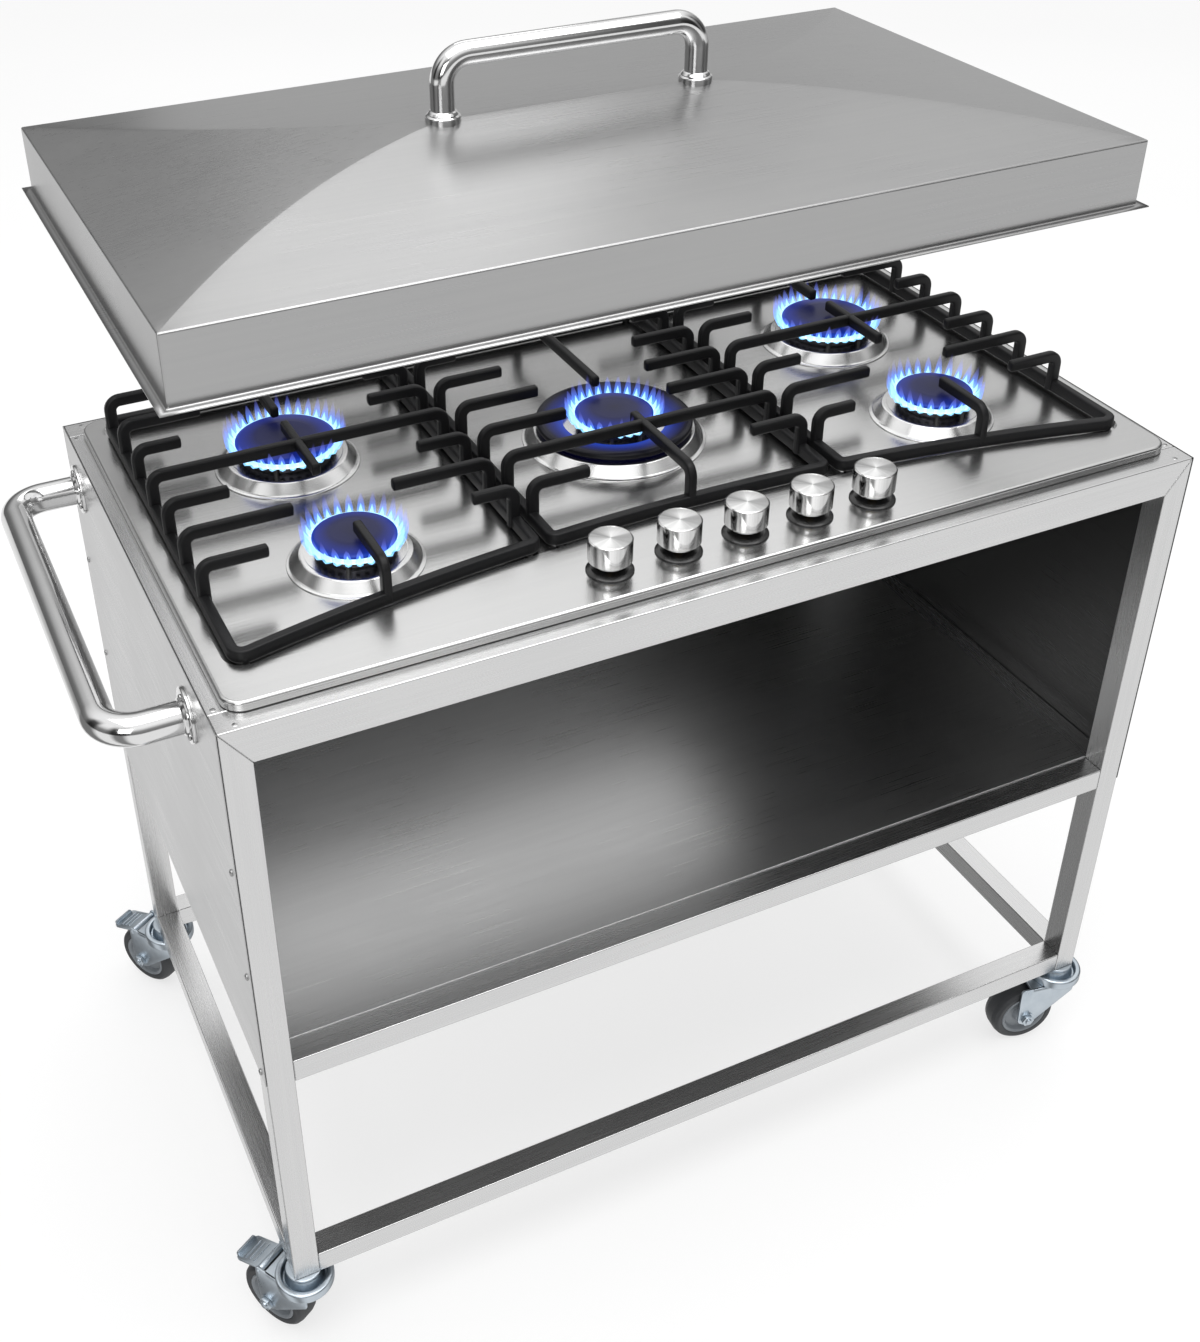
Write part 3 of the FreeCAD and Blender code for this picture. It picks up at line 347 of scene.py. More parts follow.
def plain_metal(name, tint, roughness):
    """Turned brass, drawn aluminium or galvanised sheet, clouded by handling."""
    metal = Finish(name, Metallic=1.0)
    cloud = metal.noise(40, 5.0)
    metal.surface(Base_Color=metal.blend(cloud, [0.8 * part for part in tint], tint),
                  Roughness=roughness - 0.06 + 0.14 * cloud)
    metal.bump(metal.noise(350, 3.0), 0.0001, 0.3)
    return metal


def height_share(finish, low, high):
    """How far up a point lies between two heights, from 0 to 1."""
    return finish.clamp((finish.part(finish.place(), "Z") - low) / (high - low))


def painted_glow_cap_enamel():
    """Black enamel of the caps, with a painted blue glow where the flames would light its edge."""
    enamel = cast_black("black_enamel_painted_blue_glow", (0.006, 0.007, 0.02), 0.3, 0.00006)
    share = height_share(enamel, CAP_BASE, CAP_TOP)
    stops = [(0.0, (0.02, 0.08, 0.50)), (0.45, (0.02, 0.11, 1.0)), (0.66, (0.012, 0.04, 0.5)),
             (0.86, (0.01, 0.014, 0.13)), (1.0, (0.008, 0.008, 0.04))]
    # Painted light: the cap glows blue by height in place of the flames' light on it
    enamel.surface(Emission_Strength=0.45, Emission_Color=enamel.ramp(share, stops))
    return enamel


def painted_glow_ring_enamel():
    """Black enamel of the outer ring, with a painted blue glow where the flames would light its inner slope.
    """
    enamel = cast_black("black_ring_enamel_painted_glow", (0.006, 0.006, 0.008), 0.34, 0.0001)
    away, _ = polar(enamel, *BURNERS["centre"][:2])
    share = enamel.clamp((away - RING_INNER) / (RING_OUTER - RING_INNER))
    stops = [(0.0, (0.02, 0.10, 0.9)), (0.35, (0.008, 0.03, 0.35)), (0.75, (0.0, 0.0, 0.02)),
             (1.0, (0.0, 0.0, 0.0))]
    # Painted light: the ring glows blue towards its cap in place of the flames' light
    enamel.surface(Emission_Strength=0.5, Emission_Color=enamel.ramp(share, stops))
    return enamel


def burning_gas(name, stops, glow, opacity, fade):
    """A gas flame: it glows by height, and fades out towards its tip."""
    flame = Finish(name, Base_Color=(0, 0, 0, 1), Specular_IOR_Level=0.0, Emission_Strength=glow)
    flame.material.cycles.emission_sampling = "NONE"
    share = height_share(flame, FLAME_FOOT, FLAME_TIP)
    flame.surface(Emission_Color=flame.ramp(share, stops), Alpha=opacity * (1 - share) ** fade)
    return flame


# Mesh helpers

def softened(points, radius, steps=6, closed=False):
    """A line whose corners are arcs of one radius, or of one radius each."""
    corners = [Vector(point) for point in points]
    count = len(corners)
    radii = radius if isinstance(radius, (list, tuple)) else [radius] * count
    line = []
    for index, corner in enumerate(corners):
        inner = closed or 0 < index < count - 1
        back = corners[index - 1] - corner
        ahead = corners[(index + 1) % count] - corner
        half = back.angle(ahead) / 2 if inner else 0
        if not inner or radii[index] == 0 or half > 1.55:
            line.append(corner)
            continue
        reach = min(radii[index] / math.tan(half), 0.49 * back.length, 0.49 * ahead.length)
        start, end = corner + back.normalized() * reach, corner + ahead.normalized() * reach
        middle = corner + (back.normalized() + ahead.normalized()).normalized() * (reach / math.cos(half))
        spoke, far_spoke = start - middle, end - middle
        line += [middle + spoke.slerp(far_spoke, step / steps).normalized() * spoke.length
                 for step in range(steps + 1)]
    return line


def profile(points, radius=0.0, steps=5):
    """(radius, height) points of a turned shape, with softened corners."""
    return softened([Vector((out, 0, height)) for out, height in points], radius, steps)


def ring_section(radius, count=32):
    return [Vector((radius * math.cos(FULL_TURN * n / count), radius * math.sin(FULL_TURN * n / count), 0))
            for n in range(count)]


def bar_section(width, height, radius, steps=4):
    """A rounded oblong section: width across the line's plane, height in it."""
    half_x, half_y = width / 2, height / 2
    corners = [(-half_x, -half_y, 0), (half_x, -half_y, 0), (half_x, half_y, 0), (-half_x, half_y, 0)]
    return softened(corners, radius, steps, closed=True)


def stations(line, side, closed=False, scales=None):
    """Matrices that carry a section along a flat line; side is square to the line's plane."""
    places = []
    count = len(line)
    for index, spot in enumerate(line):
        before = line[index - 1] if index or closed else spot
        after = line[(index + 1) % count] if closed or index < count - 1 else spot
        ahead = (after - before).normalized()
        axes = Matrix((side, ahead.cross(side), ahead)).transposed().to_4x4()
        size = scales[index] if scales else 1.0
        places.append(Matrix.Translation(spot) @ axes @ Matrix.Diagonal((size, size, 1, 1)))
    return places + places[:1] if closed else places


def grown_edges(mesh, edges):
    """Extrudes edges where they lie, and gives back the new vertices and edges."""
    grown = bmesh.ops.extrude_edge_only(mesh, edges=edges)["geom"]
    verts = {item for item in grown if isinstance(item, bmesh.types.BMVert)}
    rim = [item for item in grown if isinstance(item, bmesh.types.BMEdge) and set(item.verts) <= verts]
    return verts, rim


def swept(mesh, section, places, capped=True):
    """Extrudes a closed section from place to place."""
    corners = [mesh.verts.new(places[0] @ point) for point in section]
    edges = [mesh.edges.new(pair) for pair in zip(corners, corners[1:] + corners[:1])]
    if capped:
        bmesh.ops.contextual_create(mesh, geom=edges)
    for here, there in zip(places, places[1:]):
        moved, edges = grown_edges(mesh, edges)
        bmesh.ops.transform(mesh, matrix=there @ here.inverted(), verts=list(moved))
    if capped:
        bmesh.ops.contextual_create(mesh, geom=edges)


def blunt_tip(line, length, steps=3):
    """Adds a rounded tip to a line's end: the extra points, and the size of the section at each point."""
    ahead = (line[-1] - line[-2]).normalized()
    shares = [(step + 1) / steps for step in range(steps)]
    tip = [line[-1] + ahead * length * share for share in shares]
    return line + tip, [1.0] * len(line) + [0.55 + 0.45 * math.sqrt(1 - share ** 2) for share in shares]


def turned(mesh, outline, x=0.0, y=0.0, steps=ROUND_STEPS, closed=False):
    """Spins an outline a full turn about an upright axis, and gives back its vertices."""
    spot = Vector((x, y, 0))
    corners = [mesh.verts.new(spot + point) for point in outline]
    edges = [mesh.edges.new(pair) for pair in zip(corners, corners[1:])]
    if closed:
        edges.append(mesh.edges.new((corners[-1], corners[0])))
    before = set(mesh.verts) - set(corners)
    bmesh.ops.spin(mesh, geom=corners + edges, cent=spot, axis=UP, angle=FULL_TURN, steps=steps,
                   use_merge=True)
    return [vert for vert in mesh.verts if vert not in before]


def standing(spot, way):
    """A place on a face, with its Z pointing away from the face."""
    return Matrix.Translation(spot) @ way.to_track_quat("Z", "Y").to_matrix().to_4x4()


def mirrored(side):
    """The (radius, height) points of one side of a wheel, followed by those of the other."""
    return side + [(out, -away) for out, away in reversed(side)]


def plate(mesh, outline, thickness, place):
    """A flat sheet with an outline in its own XY plane, thick along its Z, put in a place."""
    corners = [mesh.verts.new(point) for point in outline]
    face = bmesh.ops.contextual_create(mesh, geom=corners)["faces"][0]
    grown = bmesh.ops.extrude_face_region(mesh, geom=[face])["geom"]
    top = [item for item in grown if isinstance(item, bmesh.types.BMVert)]
    bmesh.ops.translate(mesh, verts=top, vec=(0, 0, thickness))
    bmesh.ops.transform(mesh, matrix=place, verts=corners + top)


def bevel_sharp(mesh, width, angle=40, segments=2, chosen=None):
    """Rounds the sharp edges of a mesh."""
    bmesh.ops.remove_doubles(mesh, verts=mesh.verts, dist=MERGE_DISTANCE)
    sharp = [edge for edge in mesh.edges if len(edge.link_faces) == 2
             and edge.calc_face_angle() > math.radians(angle) and (chosen is None or chosen(edge))]
    bmesh.ops.bevel(mesh, geom=sharp, offset=width, offset_type="OFFSET", segments=segments, profile=0.5,
                    affect="EDGES", material=-1, clamp_overlap=True)


def piece(name, mesh, finish, body, nodes, crease=38, place=None):
    """Turns a finished mesh into a piece that rides on a body and stands for the nodes named."""
    if place:
        bmesh.ops.transform(mesh, matrix=place, verts=mesh.verts)
    bmesh.ops.remove_doubles(mesh, verts=mesh.verts, dist=MERGE_DISTANCE)
    bmesh.ops.recalc_face_normals(mesh, faces=mesh.faces)
    data = bpy.data.meshes.new(name)
    mesh.to_mesh(data)
    mesh.free()
    data.shade_smooth()
    data.set_sharp_from_angle(angle=math.radians(crease))
    data.materials.append(finish.material)
    made = bpy.data.objects.new(name, data)
    bpy.context.scene.collection.objects.link(made)
    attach(made, body)
    if nodes:
        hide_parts(*nodes)
    return made


# Nodes that keep their shape

def dress_node(name, finish, edge=0.0):
    """Gives a kept node its finish and, where asked, softened edges."""
    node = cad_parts[name]
    if not node.material_slots:
        node.data.materials.append(None)
    for slot in node.material_slots:
        slot.material = finish.material
    if edge:
        weld = node.modifiers.new("weld", "WELD")
        weld.merge_threshold = MERGE_DISTANCE
        soft = node.modifiers.new("soft_edges", "BEVEL")
        soft.width, soft.segments, soft.limit_method = edge, 2, "ANGLE"
        soft.angle_limit = math.radians(40)
        soft.harden_normals = True


def dress_frame():
    along_x, along_y, along_z = (brushed_steel(f"brushed_tube_{axis}", n) for n, axis in enumerate("xyz"))
    for name in ("top_long_tubes", "shelf_long_rails", "lower_long_rails"):
        dress_node(name, along_x, TUBE_EDGE)
    for name in ("top_side_tubes", "shelf_side_rails", "lower_side_rails"):
        dress_node(name, along_y, TUBE_EDGE)
    for name in ("front_legs", "rear_legs"):
        dress_node(name, along_z, TUBE_EDGE)
    low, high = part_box("shelf_sheet")
    sheet = brushed_steel("brushed_sheet_x", 0, 0.30, SHEET_DARK, SHEET_LIGHT)
    # Painted shade on the shelf sheet below its top skin and behind its front lip
    underside = (("Z", high.z - UNDER_SHELF, 1), ("Y", low.y + BEHIND_LIP, -1))
    dress_node("shelf_sheet", painted_shade_inside(sheet, *underside), SHELF_EDGE)
    # Painted shade on the panels' inner faces, where the bay is in shade
    for name, along, axis, side in (("back_panel", 0, "Y", 1), ("left_side_panel", 1, "X", -1),
                                    ("right_side_panel", 1, "X", 1)):
        middle = sum(corner["XYZ".index(axis)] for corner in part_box(name)) / 2
        panel = brushed_steel(f"brushed_{name}", along, 0.30, PANEL_DARK, PANEL_LIGHT)
        dress_node(name, painted_shade_inside(panel, (axis, middle, side)), SHEET_EDGE)
    dress_node("hob_panel", brushed_steel("satin_hob", 0, 0.22, HOB_DARK, HOB_LIGHT))
    dress_node("hob_seal", moulded("seal_rubber", (0.01, 0.01, 0.01), (0.03, 0.03, 0.03), 0.6))
    dress_node("hob_underbox", plain_metal("galvanised", (0.74, 0.75, 0.76), 0.34), SHEET_EDGE)
    brass = plain_metal("valve_brass", (0.72, 0.54, 0.26), 0.3)
    dress_node("gas_valves", brass, VALVE_EDGE)
    for number in range(1, 6):
        dress_node(f"valve_stem_{number}", brass)
    dress_node("gas_manifold", plain_metal("pipe_steel", (0.5, 0.5, 0.5), 0.35))
    dress_node("burner_feed_pipes", plain_metal("pipe_aluminium", (0.76, 0.77, 0.78), 0.3))


# Screws and rivets

def screw_head(mesh, height, spot, outward):
    """A pan head with a round drive socket, standing on a face."""
    socket = 0.42 * SCREW_RADIUS
    outline = profile([(SCREW_RADIUS, 0), (SCREW_RADIUS, 0.45 * height), (0.72 * SCREW_RADIUS, height),
                       (socket, height), (socket, 0.35 * height), (0, 0.3 * height)], 0.25 * height, 3)
    verts = turned(mesh, outline, steps=SCREW_STEPS)
    bmesh.ops.transform(mesh, matrix=standing(spot, outward), verts=verts)


def make_screws(steel):
    low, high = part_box("panel_screws")
    rows = [low.z + SCREW_RADIUS + n * (high.z - low.z - 2 * SCREW_RADIUS) / 2 for n in range(3)]
    back_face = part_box("back_panel")[1].y
    panels = bmesh.new()
    for z in rows:
        for x_side in (-1, 1):
            for y_side in (-1, 1):
                spot = Vector((x_side * (high.x - PANEL_HEAD), y_side * LEG_Y, z))
                screw_head(panels, PANEL_HEAD, spot, x_side * RIGHT)
            screw_head(panels, PANEL_HEAD, Vector((x_side * LEG_X, back_face, z)), BACK)
    piece("panel_screw_heads", panels, steel, "cart", ["panel_screws"])

    low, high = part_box("push_handle_flanges")
    middle_y, middle_z = (low.y + high.y) / 2, (low.z + high.z) / 2
    spread = (high.y - low.y) / 2 - PUSH_FLANGE
    heads = bmesh.new()
    for side in (-1, 1):
        for turn in range(3):
            angle = math.radians(90 + 120 * turn)
            spot = Vector((low.x, middle_y + side * spread + FLANGE_SCREW_CIRCLE * math.cos(angle),
                           middle_z + FLANGE_SCREW_CIRCLE * math.sin(angle)))
            screw_head(heads, FLANGE_HEAD, spot, -RIGHT)
    piece("flange_screw_heads", heads, steel, "cart", ["push_handle_screws"])


def make_rivets(steel):
    """Flush rivets in the frame's top, low enough for the lid's rim to sit over them."""
    rivets = bmesh.new()
    low, high = FRAME_TOP - RIVET_RISE, FRAME_TOP + RIVET_RISE
    outline = profile([(RIVET_FOOT, low), (RIVET_TOP, high), (0, high)])
    for x, y in RIVET_SPOTS:
        for x_side in (-1, 1):
            for y_side in (-1, 1):
                turned(rivets, outline, x_side * x, y_side * y, SCREW_STEPS)
    piece("frame_top_rivets", rivets, steel, "cart", [])


# Handles

def tube_handle(mesh, corners, bend, radius, side):
    """A bent round bar through its corners, with a bead of weld at each foot."""
    line = softened(corners, bend, 14)
    swept(mesh, ring_section(radius, 48), stations(line, side))
    bead = profile([(radius + 0.003, 0), (radius + 0.0015, 0.002), (radius - 0.001, 0.0035)], 0.002, 4)
    for foot, ahead in ((corners[0], corners[1]), (corners[-1], corners[-2])):
        verts = turned(mesh, bead, steps=48)
        bmesh.ops.transform(mesh, matrix=standing(foot, (ahead - foot).normalized()), verts=verts)


def make_push_handle(polished):
    low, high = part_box("push_handle")
    radius = (high.z - low.z) / 2
    z, face = (low.z + high.z) / 2, high.x
    front, rear = low.y + radius, high.y - radius
    run = low.x + radius
    bar = bmesh.new()
    corners = [Vector((x, y, z)) for x, y in ((face, front), (run, front), (run, rear), (face, rear))]
    tube_handle(bar, corners, PUSH_BEND, radius, UP)
    piece("push_bar", bar, polished, "cart", ["push_handle"])

    flanges = bmesh.new()
    low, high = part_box("push_handle_flanges")
    thick = high.x - low.x
    disc = profile([(0, 0), (PUSH_FLANGE, 0), (PUSH_FLANGE, 0.7 * thick), (0.8 * PUSH_FLANGE, thick),
                    (0, thick)], [0, 0.0004, 0.0016, 0.003, 0])
    for y in (front, rear):
        verts = turned(flanges, disc)
        place = standing(Vector((face + thick, y, z)), -RIGHT)
        bmesh.ops.transform(flanges, matrix=place, verts=verts)
    piece("push_bar_flanges", flanges, polished, "cart", ["push_handle_flanges"])


# Lid

def fold_line(share):
    """How far in from the end the curved fold lies, at a share of the lid's rise."""
    return 1.5 - math.sqrt(2.25 - 2 * share)


def lid_face(mesh, corner_at, across, up):
    """One sloping face: a grid whose points a function puts in place by their shares across and up."""
    grid = bmesh.ops.create_grid(mesh, x_segments=across, y_segments=up, size=1.0)["verts"]
    for vert in grid:
        vert.co = corner_at((vert.co.x + 1) / 2, (vert.co.y + 1) / 2)


def make_lid(steel):
    low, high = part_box("lid_shell")
    west, east = low.x + LID_FLANGE, high.x - LID_FLANGE
    south, north = low.y + LID_FLANGE, high.y - LID_FLANGE
    eaves, ridge = low.z + LID_SKIRT, high.z
    half_depth = (north - south) / 2
    end_run = (east - west) / 2 - LID_RIDGE_HALF

    def slope(y_edge, y_way):
        def at(across, up):
            inset = end_run * fold_line(up)
            x = west + inset + (east - west - 2 * inset) * across
            return Vector((x, y_edge + y_way * half_depth * up, eaves + (ridge - eaves) * up))
        return at

    def hip(x_edge, x_way):
        def at(across, up):
            y = south + half_depth * up + 2 * half_depth * (1 - up) * across
            return Vector((x_edge + x_way * end_run * fold_line(up), y, eaves + (ridge - eaves) * up))
        return at

    shell = bmesh.new()
    for face in (slope(south, 1), slope(north, -1), hip(west, 1), hip(east, -1)):
        lid_face(shell, face, 40, 20)
    bmesh.ops.remove_doubles(shell, verts=shell.verts, dist=1e-5)
    bmesh.ops.dissolve_degenerate(shell, edges=shell.edges, dist=1e-6)
    rim = [edge for edge in shell.edges if edge.is_boundary]
    for drop, spread in ((LID_SKIRT - LID_WALL, 0.0), (0.0, LID_FLANGE)):
        moved, rim = grown_edges(shell, rim)
        for vert in moved:
            vert.co.z -= drop
            vert.co.x += spread * ((vert.co.x > east - MM) - (vert.co.x < west + MM))
            vert.co.y += spread * ((vert.co.y > north - MM) - (vert.co.y < south + MM))
    bmesh.ops.recalc_face_normals(shell, faces=shell.faces)
    bevel_sharp(shell, 0.0016, 40, 3)
    middle = Vector(((west + east) / 2, (south + north) / 2, ridge))
    ends = [middle + side * LID_RIDGE_HALF * RIGHT for side in (-1, 1)]

    def on_fold(edge):
        clear = all((vert.co - end).length > 0.012 for vert in edge.verts for end in ends)
        return clear and edge.verts[0].co.z > eaves + MM

    bevel_sharp(shell, 0.0009, 3, 2, on_fold)
    made = piece("lid_skin", shell, steel, "lid", ["lid_shell"], 12)
    wall = made.modifiers.new("sheet_thickness", "SOLIDIFY")
    wall.thickness, wall.offset = LID_WALL, -1.0


def make_lid_handle(polished):
    low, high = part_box("lid_handle")
    radius = (high.y - low.y) / 2
    y = (low.y + high.y) / 2
    left, right = low.x + radius, high.x - radius
    top = high.z - radius
    bar = bmesh.new()
    corners = [Vector((x, y, z)) for x, z in ((left, low.z), (left, top), (right, top), (right, low.z))]
    tube_handle(bar, corners, LID_BEND, radius, BACK)
    piece("lid_bar", bar, polished, "lid", ["lid_handle"])

    collars = bmesh.new()
    near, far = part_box("lid_handle_collars")
    collar = (far.y - near.y) / 2
    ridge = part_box("lid_shell")[1].z
    outline = profile([(0, ridge - 0.0006), (collar, ridge - 0.0024), (collar, low.z - 0.002),
                       (collar - 0.003, low.z), (0, low.z)], [0, 0, 0.0015, 0.0015, 0])
    for x in (left, right):
        turned(collars, outline, x, y)
    piece("lid_bar_collars", collars, polished, "lid", ["lid_handle_collars"])


# Burners

def make_dish(name, x, y, dish, satin_painted_fans):
    """A spun drip dish: a thin lip, a hollow slope and a rounded shoulder round a flat seat."""
    seat, rim = dish - 0.011, DISH_TOP + 0.0002
    outline = profile([(BURNER_STEM, WELL_FLOOR), (dish, WELL_FLOOR), (dish, WELL_FLOOR + 0.001),
                       (dish - 0.003, WELL_FLOOR + 0.0012), (seat, rim), (seat - 0.004, rim),
                       (seat - 0.0048, DISH_TOP), (BURNER_STEM, DISH_TOP)],
                      [0, 0.0004, 0.0004, 0.005, 0.0022, 0.0006, 0.0006, 0])
    dishes = bmesh.new()
    turned(dishes, outline, x, y, FINE_STEPS, closed=True)
    piece(f"dish_{name}", dishes, satin_painted_fans, "cart", ["burner_dishes"], 30)


def make_crown(name, x, y, cap, flames, cast):
    """The burner head under its cap, with a port for each flame."""
    crown, stem = cap - CROWN_INSET, BURNER_STEM - 0.0002
    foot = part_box("burner_heads")[0].z
    port_low, port_high = DISH_TOP + 0.0045, CAP_BASE - 0.0012
    outline = profile([(0, foot), (stem, foot), (stem, DISH_TOP), (crown - 0.002, DISH_TOP),
                       (crown, DISH_TOP + 0.002), (crown, port_low), (crown, port_high), (crown, CAP_BASE),
                       (0, CAP_BASE)])
    head = bmesh.new()
    turned(head, outline, x, y, 2 * flames)
    bmesh.ops.remove_doubles(head, verts=head.verts, dist=MERGE_DISTANCE)
    middle = (port_low + port_high) / 2
    ports = []
    for face in head.faces:
        spot = face.calc_center_median()
        if abs(spot.z - middle) < 0.0005:
            angle = math.atan2(spot.y - y, spot.x - x)
            if math.floor(angle / FULL_TURN * 2 * flames) % 2 == 0:
                ports.append(face)
    bmesh.ops.inset_individual(head, faces=ports, thickness=0.0003, depth=-0.004)
    piece(f"burner_crown_{name}", head, cast, "cart", ["burner_heads"], 30)


def make_cap(name, x, y, cap, enamel):
    """An enamelled cap: a rolled edge under a low dome."""
    rise = CAP_TOP - CAP_BASE
    outline = profile([(0, CAP_BASE), (cap - 0.002, CAP_BASE), (cap, CAP_BASE + 0.0012),
                       (cap, CAP_BASE + 0.4 * rise), (0.93 * cap, CAP_BASE + 0.62 * rise),
                       (0.55 * cap, CAP_BASE + 0.9 * rise), (0, CAP_TOP)],
                      [0, 0.0004, 0.001, 0.0018, 0.008, 0.02, 0])
    caps = bmesh.new()
    turned(caps, outline, x, y, FINE_STEPS)
    piece(f"burner_cap_{name}", caps, enamel, "cart", ["burner_caps"], 30)


def make_flame_ring(enamel):
    """The black outer ring of the middle burner, hollowed towards its cap."""
    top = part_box("outer_flame_ring")[1].z
    x, y = BURNERS["centre"][:2]
    outline = profile([(RING_INNER, DISH_TOP), (RING_OUTER - 0.006, DISH_TOP),
                       (RING_OUTER, DISH_TOP + 0.005), (RING_OUTER, top - 0.001), (RING_OUTER - 0.004, top),
                       (RING_INNER + 0.008, top - 0.0025), (RING_INNER, top - 0.0035)],
                      [0, 0.001, 0.002, 0.002, 0.003, 0.004, 0])
    ring = bmesh.new()
    turned(ring, outline, x, y, FINE_STEPS, closed=True)
    piece("outer_ring", ring, enamel, "cart", ["outer_flame_ring"], 30)


def make_pins(ceramic):
    """Igniter and flame probe at each burner: a ceramic sleeve with a thin tip."""
    pins = bmesh.new()
    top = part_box("igniter_pins")[1].z
    sleeve, tip = 0.002, 0.0009
    outline = profile([(0, WELL_FLOOR), (sleeve, WELL_FLOOR), (sleeve, top - 0.005), (tip, top - 0.004),
                       (tip, top - 0.0006), (0, top)], 0.0004, 2)
    for x, y, cap, *_ in BURNERS.values():
        away = cap - CROWN_INSET + 0.003
        for turn in (math.radians(-75), math.radians(-120)):
            turned(pins, outline, x + away * math.cos(turn), y + away * math.sin(turn), SMALL_STEPS)
    piece("igniters", pins, ceramic, "cart", ["igniter_pins"])


def make_flames(name, x, y, cap, count, outer, core):
    """A bright band under the cap's edge, and a ring of flames that leave it, bend upwards and thin out."""
    veil, hearts = bmesh.new(), bmesh.new()
    crown = cap - CROWN_INSET
    root, level = crown + 0.0008, CAP_BASE - 0.0012
    band = profile([(root, CAP_BASE - 0.0034), (cap, CAP_BASE - 0.0036), (cap + 0.0026, level),
                    (cap + 0.0028, CAP_BASE + 0.0018), (cap + 0.0016, CAP_BASE + 0.0004),
                    (cap - 0.0004, level), (root, level)])
    turned(hearts, band, x, y, 4 * count, closed=True)
    start = cap - 0.001
    for number in range(count):
        angle = FULL_TURN * (number + 0.5) / count
        outward = Vector((math.cos(angle), math.sin(angle), 0))
        side = outward.cross(UP)
        foot = Vector((x, y, CAP_BASE - 0.0025)) + outward * start
        sway = 0.9 + 0.16 * math.sin(7.3 * number)
        line = [foot, foot + 0.004 * outward + 0.002 * UP, foot + 0.0068 * outward + 0.007 * UP,
                foot + 0.0085 * outward + 0.013 * UP, foot + 0.0105 * outward + 0.024 * sway * UP]
        swept(veil, ring_section(0.0034, 8), stations(line, side, scales=[0.85, 1.0, 0.95, 0.7, 0.1]))
        heart = [foot, foot + 0.003 * outward + 0.0014 * UP, foot + 0.0052 * outward + 0.0048 * UP,
                 foot + 0.0068 * outward + 0.0105 * UP]
        swept(hearts, ring_section(0.0020, 8), stations(heart, side, scales=[0.9, 1.0, 0.8, 0.1]))
    for label, mesh, gas in (("flames", veil, outer), ("flame_cores", hearts, core)):
        fire = piece(f"{label}_{name}", mesh, gas, "cart", [], 180)
        fire.visible_glossy = fire.visible_diffuse = False


def make_burners():
    # Painted shade: the crowns' aluminium is painted near black for the shade under the caps
    cast = plain_metal("cast_aluminium", (0.07, 0.07, 0.08), 0.45)
    enamel = painted_glow_cap_enamel()
    veil_stops = [(0.0, (0.30, 0.70, 1.0)), (0.3, (0.10, 0.28, 1.0)), (1.0, (0.30, 0.22, 1.0))]
    core_stops = [(0.0, (0.72, 0.95, 1.0)), (0.2, (0.45, 0.85, 1.0)), (0.6, (0.10, 0.35, 1.0))]
    outer = burning_gas("flame_veil", veil_stops, 2.2, 0.5, 2.0)
    core = burning_gas("flame_core", core_stops, 1.9, 1.0, 1.2)
    for name, (x, y, cap, dish, flames) in BURNERS.items():
        # Each dish gets painted highlight fans
        satin_painted_fans = turned_steel_painted_fans(f"turned_dish_painted_fans_{name}", x, y, (0.70, 0.70, 0.70), (0.90, 0.90, 0.895), 0.24)
        make_dish(name, x, y, dish, satin_painted_fans)
        make_crown(name, x, y, cap, flames, cast)
        make_cap(name, x, y, cap, enamel)
        make_flames(name, x, y, cap, flames, outer, core)
    make_flame_ring(painted_glow_ring_enamel())
    make_pins(moulded("black_ceramic", (0.012, 0.012, 0.012), (0.04, 0.04, 0.04), 0.4))


# Pan supports

def front_line(x):
    """The curved front of the pan supports at a place along the hob."""
    sag = FRONT_MIDDLE - FRONT_END
    radius = (SUPPORT_HALF_LENGTH ** 2 + sag ** 2) / (2 * sag)
    return FRONT_MIDDLE - radius + math.sqrt(radius ** 2 - x ** 2)


def support_finger(mesh, foot, inward, reach):
    """A cast finger: up from the outside of a bar, over and in, with a blunt tip."""
    top = SUPPORT_TOP - FINGER_THICK / 2
    inset = inward * FINGER_THICK / 2
    low = Vector((*foot, WELL_FLOOR + BAR_LIFT + 0.002)) + inset
    high = Vector((*foot, top)) + inset
    end = Vector((*foot, top)) + inward * (reach - FINGER_TIP)
    line, scales = blunt_tip(softened([low, high, end], FINGER_BEND, 8), FINGER_TIP)
    section = bar_section(FINGER_WIDTH, FINGER_THICK, CAST_ROUND)
    swept(mesh, section, stations(line, inward.cross(UP), scales=scales))


def support_spoke(mesh, start, end):
    """A straight spoke level with the fingers, blunt at both ends."""
    ahead = (end - start).normalized()
    section = bar_section(FINGER_WIDTH, FINGER_THICK, CAST_ROUND)
    for tip in (end - FINGER_TIP * ahead, start + FINGER_TIP * ahead):
        line, scales = blunt_tip([start.lerp(end, 0.5), tip], FINGER_TIP)
        swept(mesh, section, stations(line, ahead.cross(UP), scales=scales))


def support_frame(mesh, west, east, outer_west, outer_east):
    """The low ring of a support: straight sides and back, and the curved front."""
    half = BAR_WIDTH / 2
    z = WELL_FLOOR + BAR_LIFT + BAR_HEIGHT / 2
    west, east = west + half, east - half
    tight, wide = half + 0.0015, 0.0115
    steps = 12
    front = [west + (east - west) * n / steps for n in range(steps + 1)]
    corners = [Vector((x, front_line(x) + half, z)) for x in front]
    corners += [Vector((east, SUPPORT_BACK - half, z)), Vector((west, SUPPORT_BACK - half, z))]
    west_bend, east_bend = (wide if outer else tight for outer in (outer_west, outer_east))
    radii = [west_bend] + [0] * (steps - 1) + [east_bend, east_bend, west_bend]
    line = softened(corners, radii, 6, closed=True)
    swept(mesh, bar_section(BAR_HEIGHT, BAR_WIDTH, 0.0022), stations(line, UP, True), capped=False)


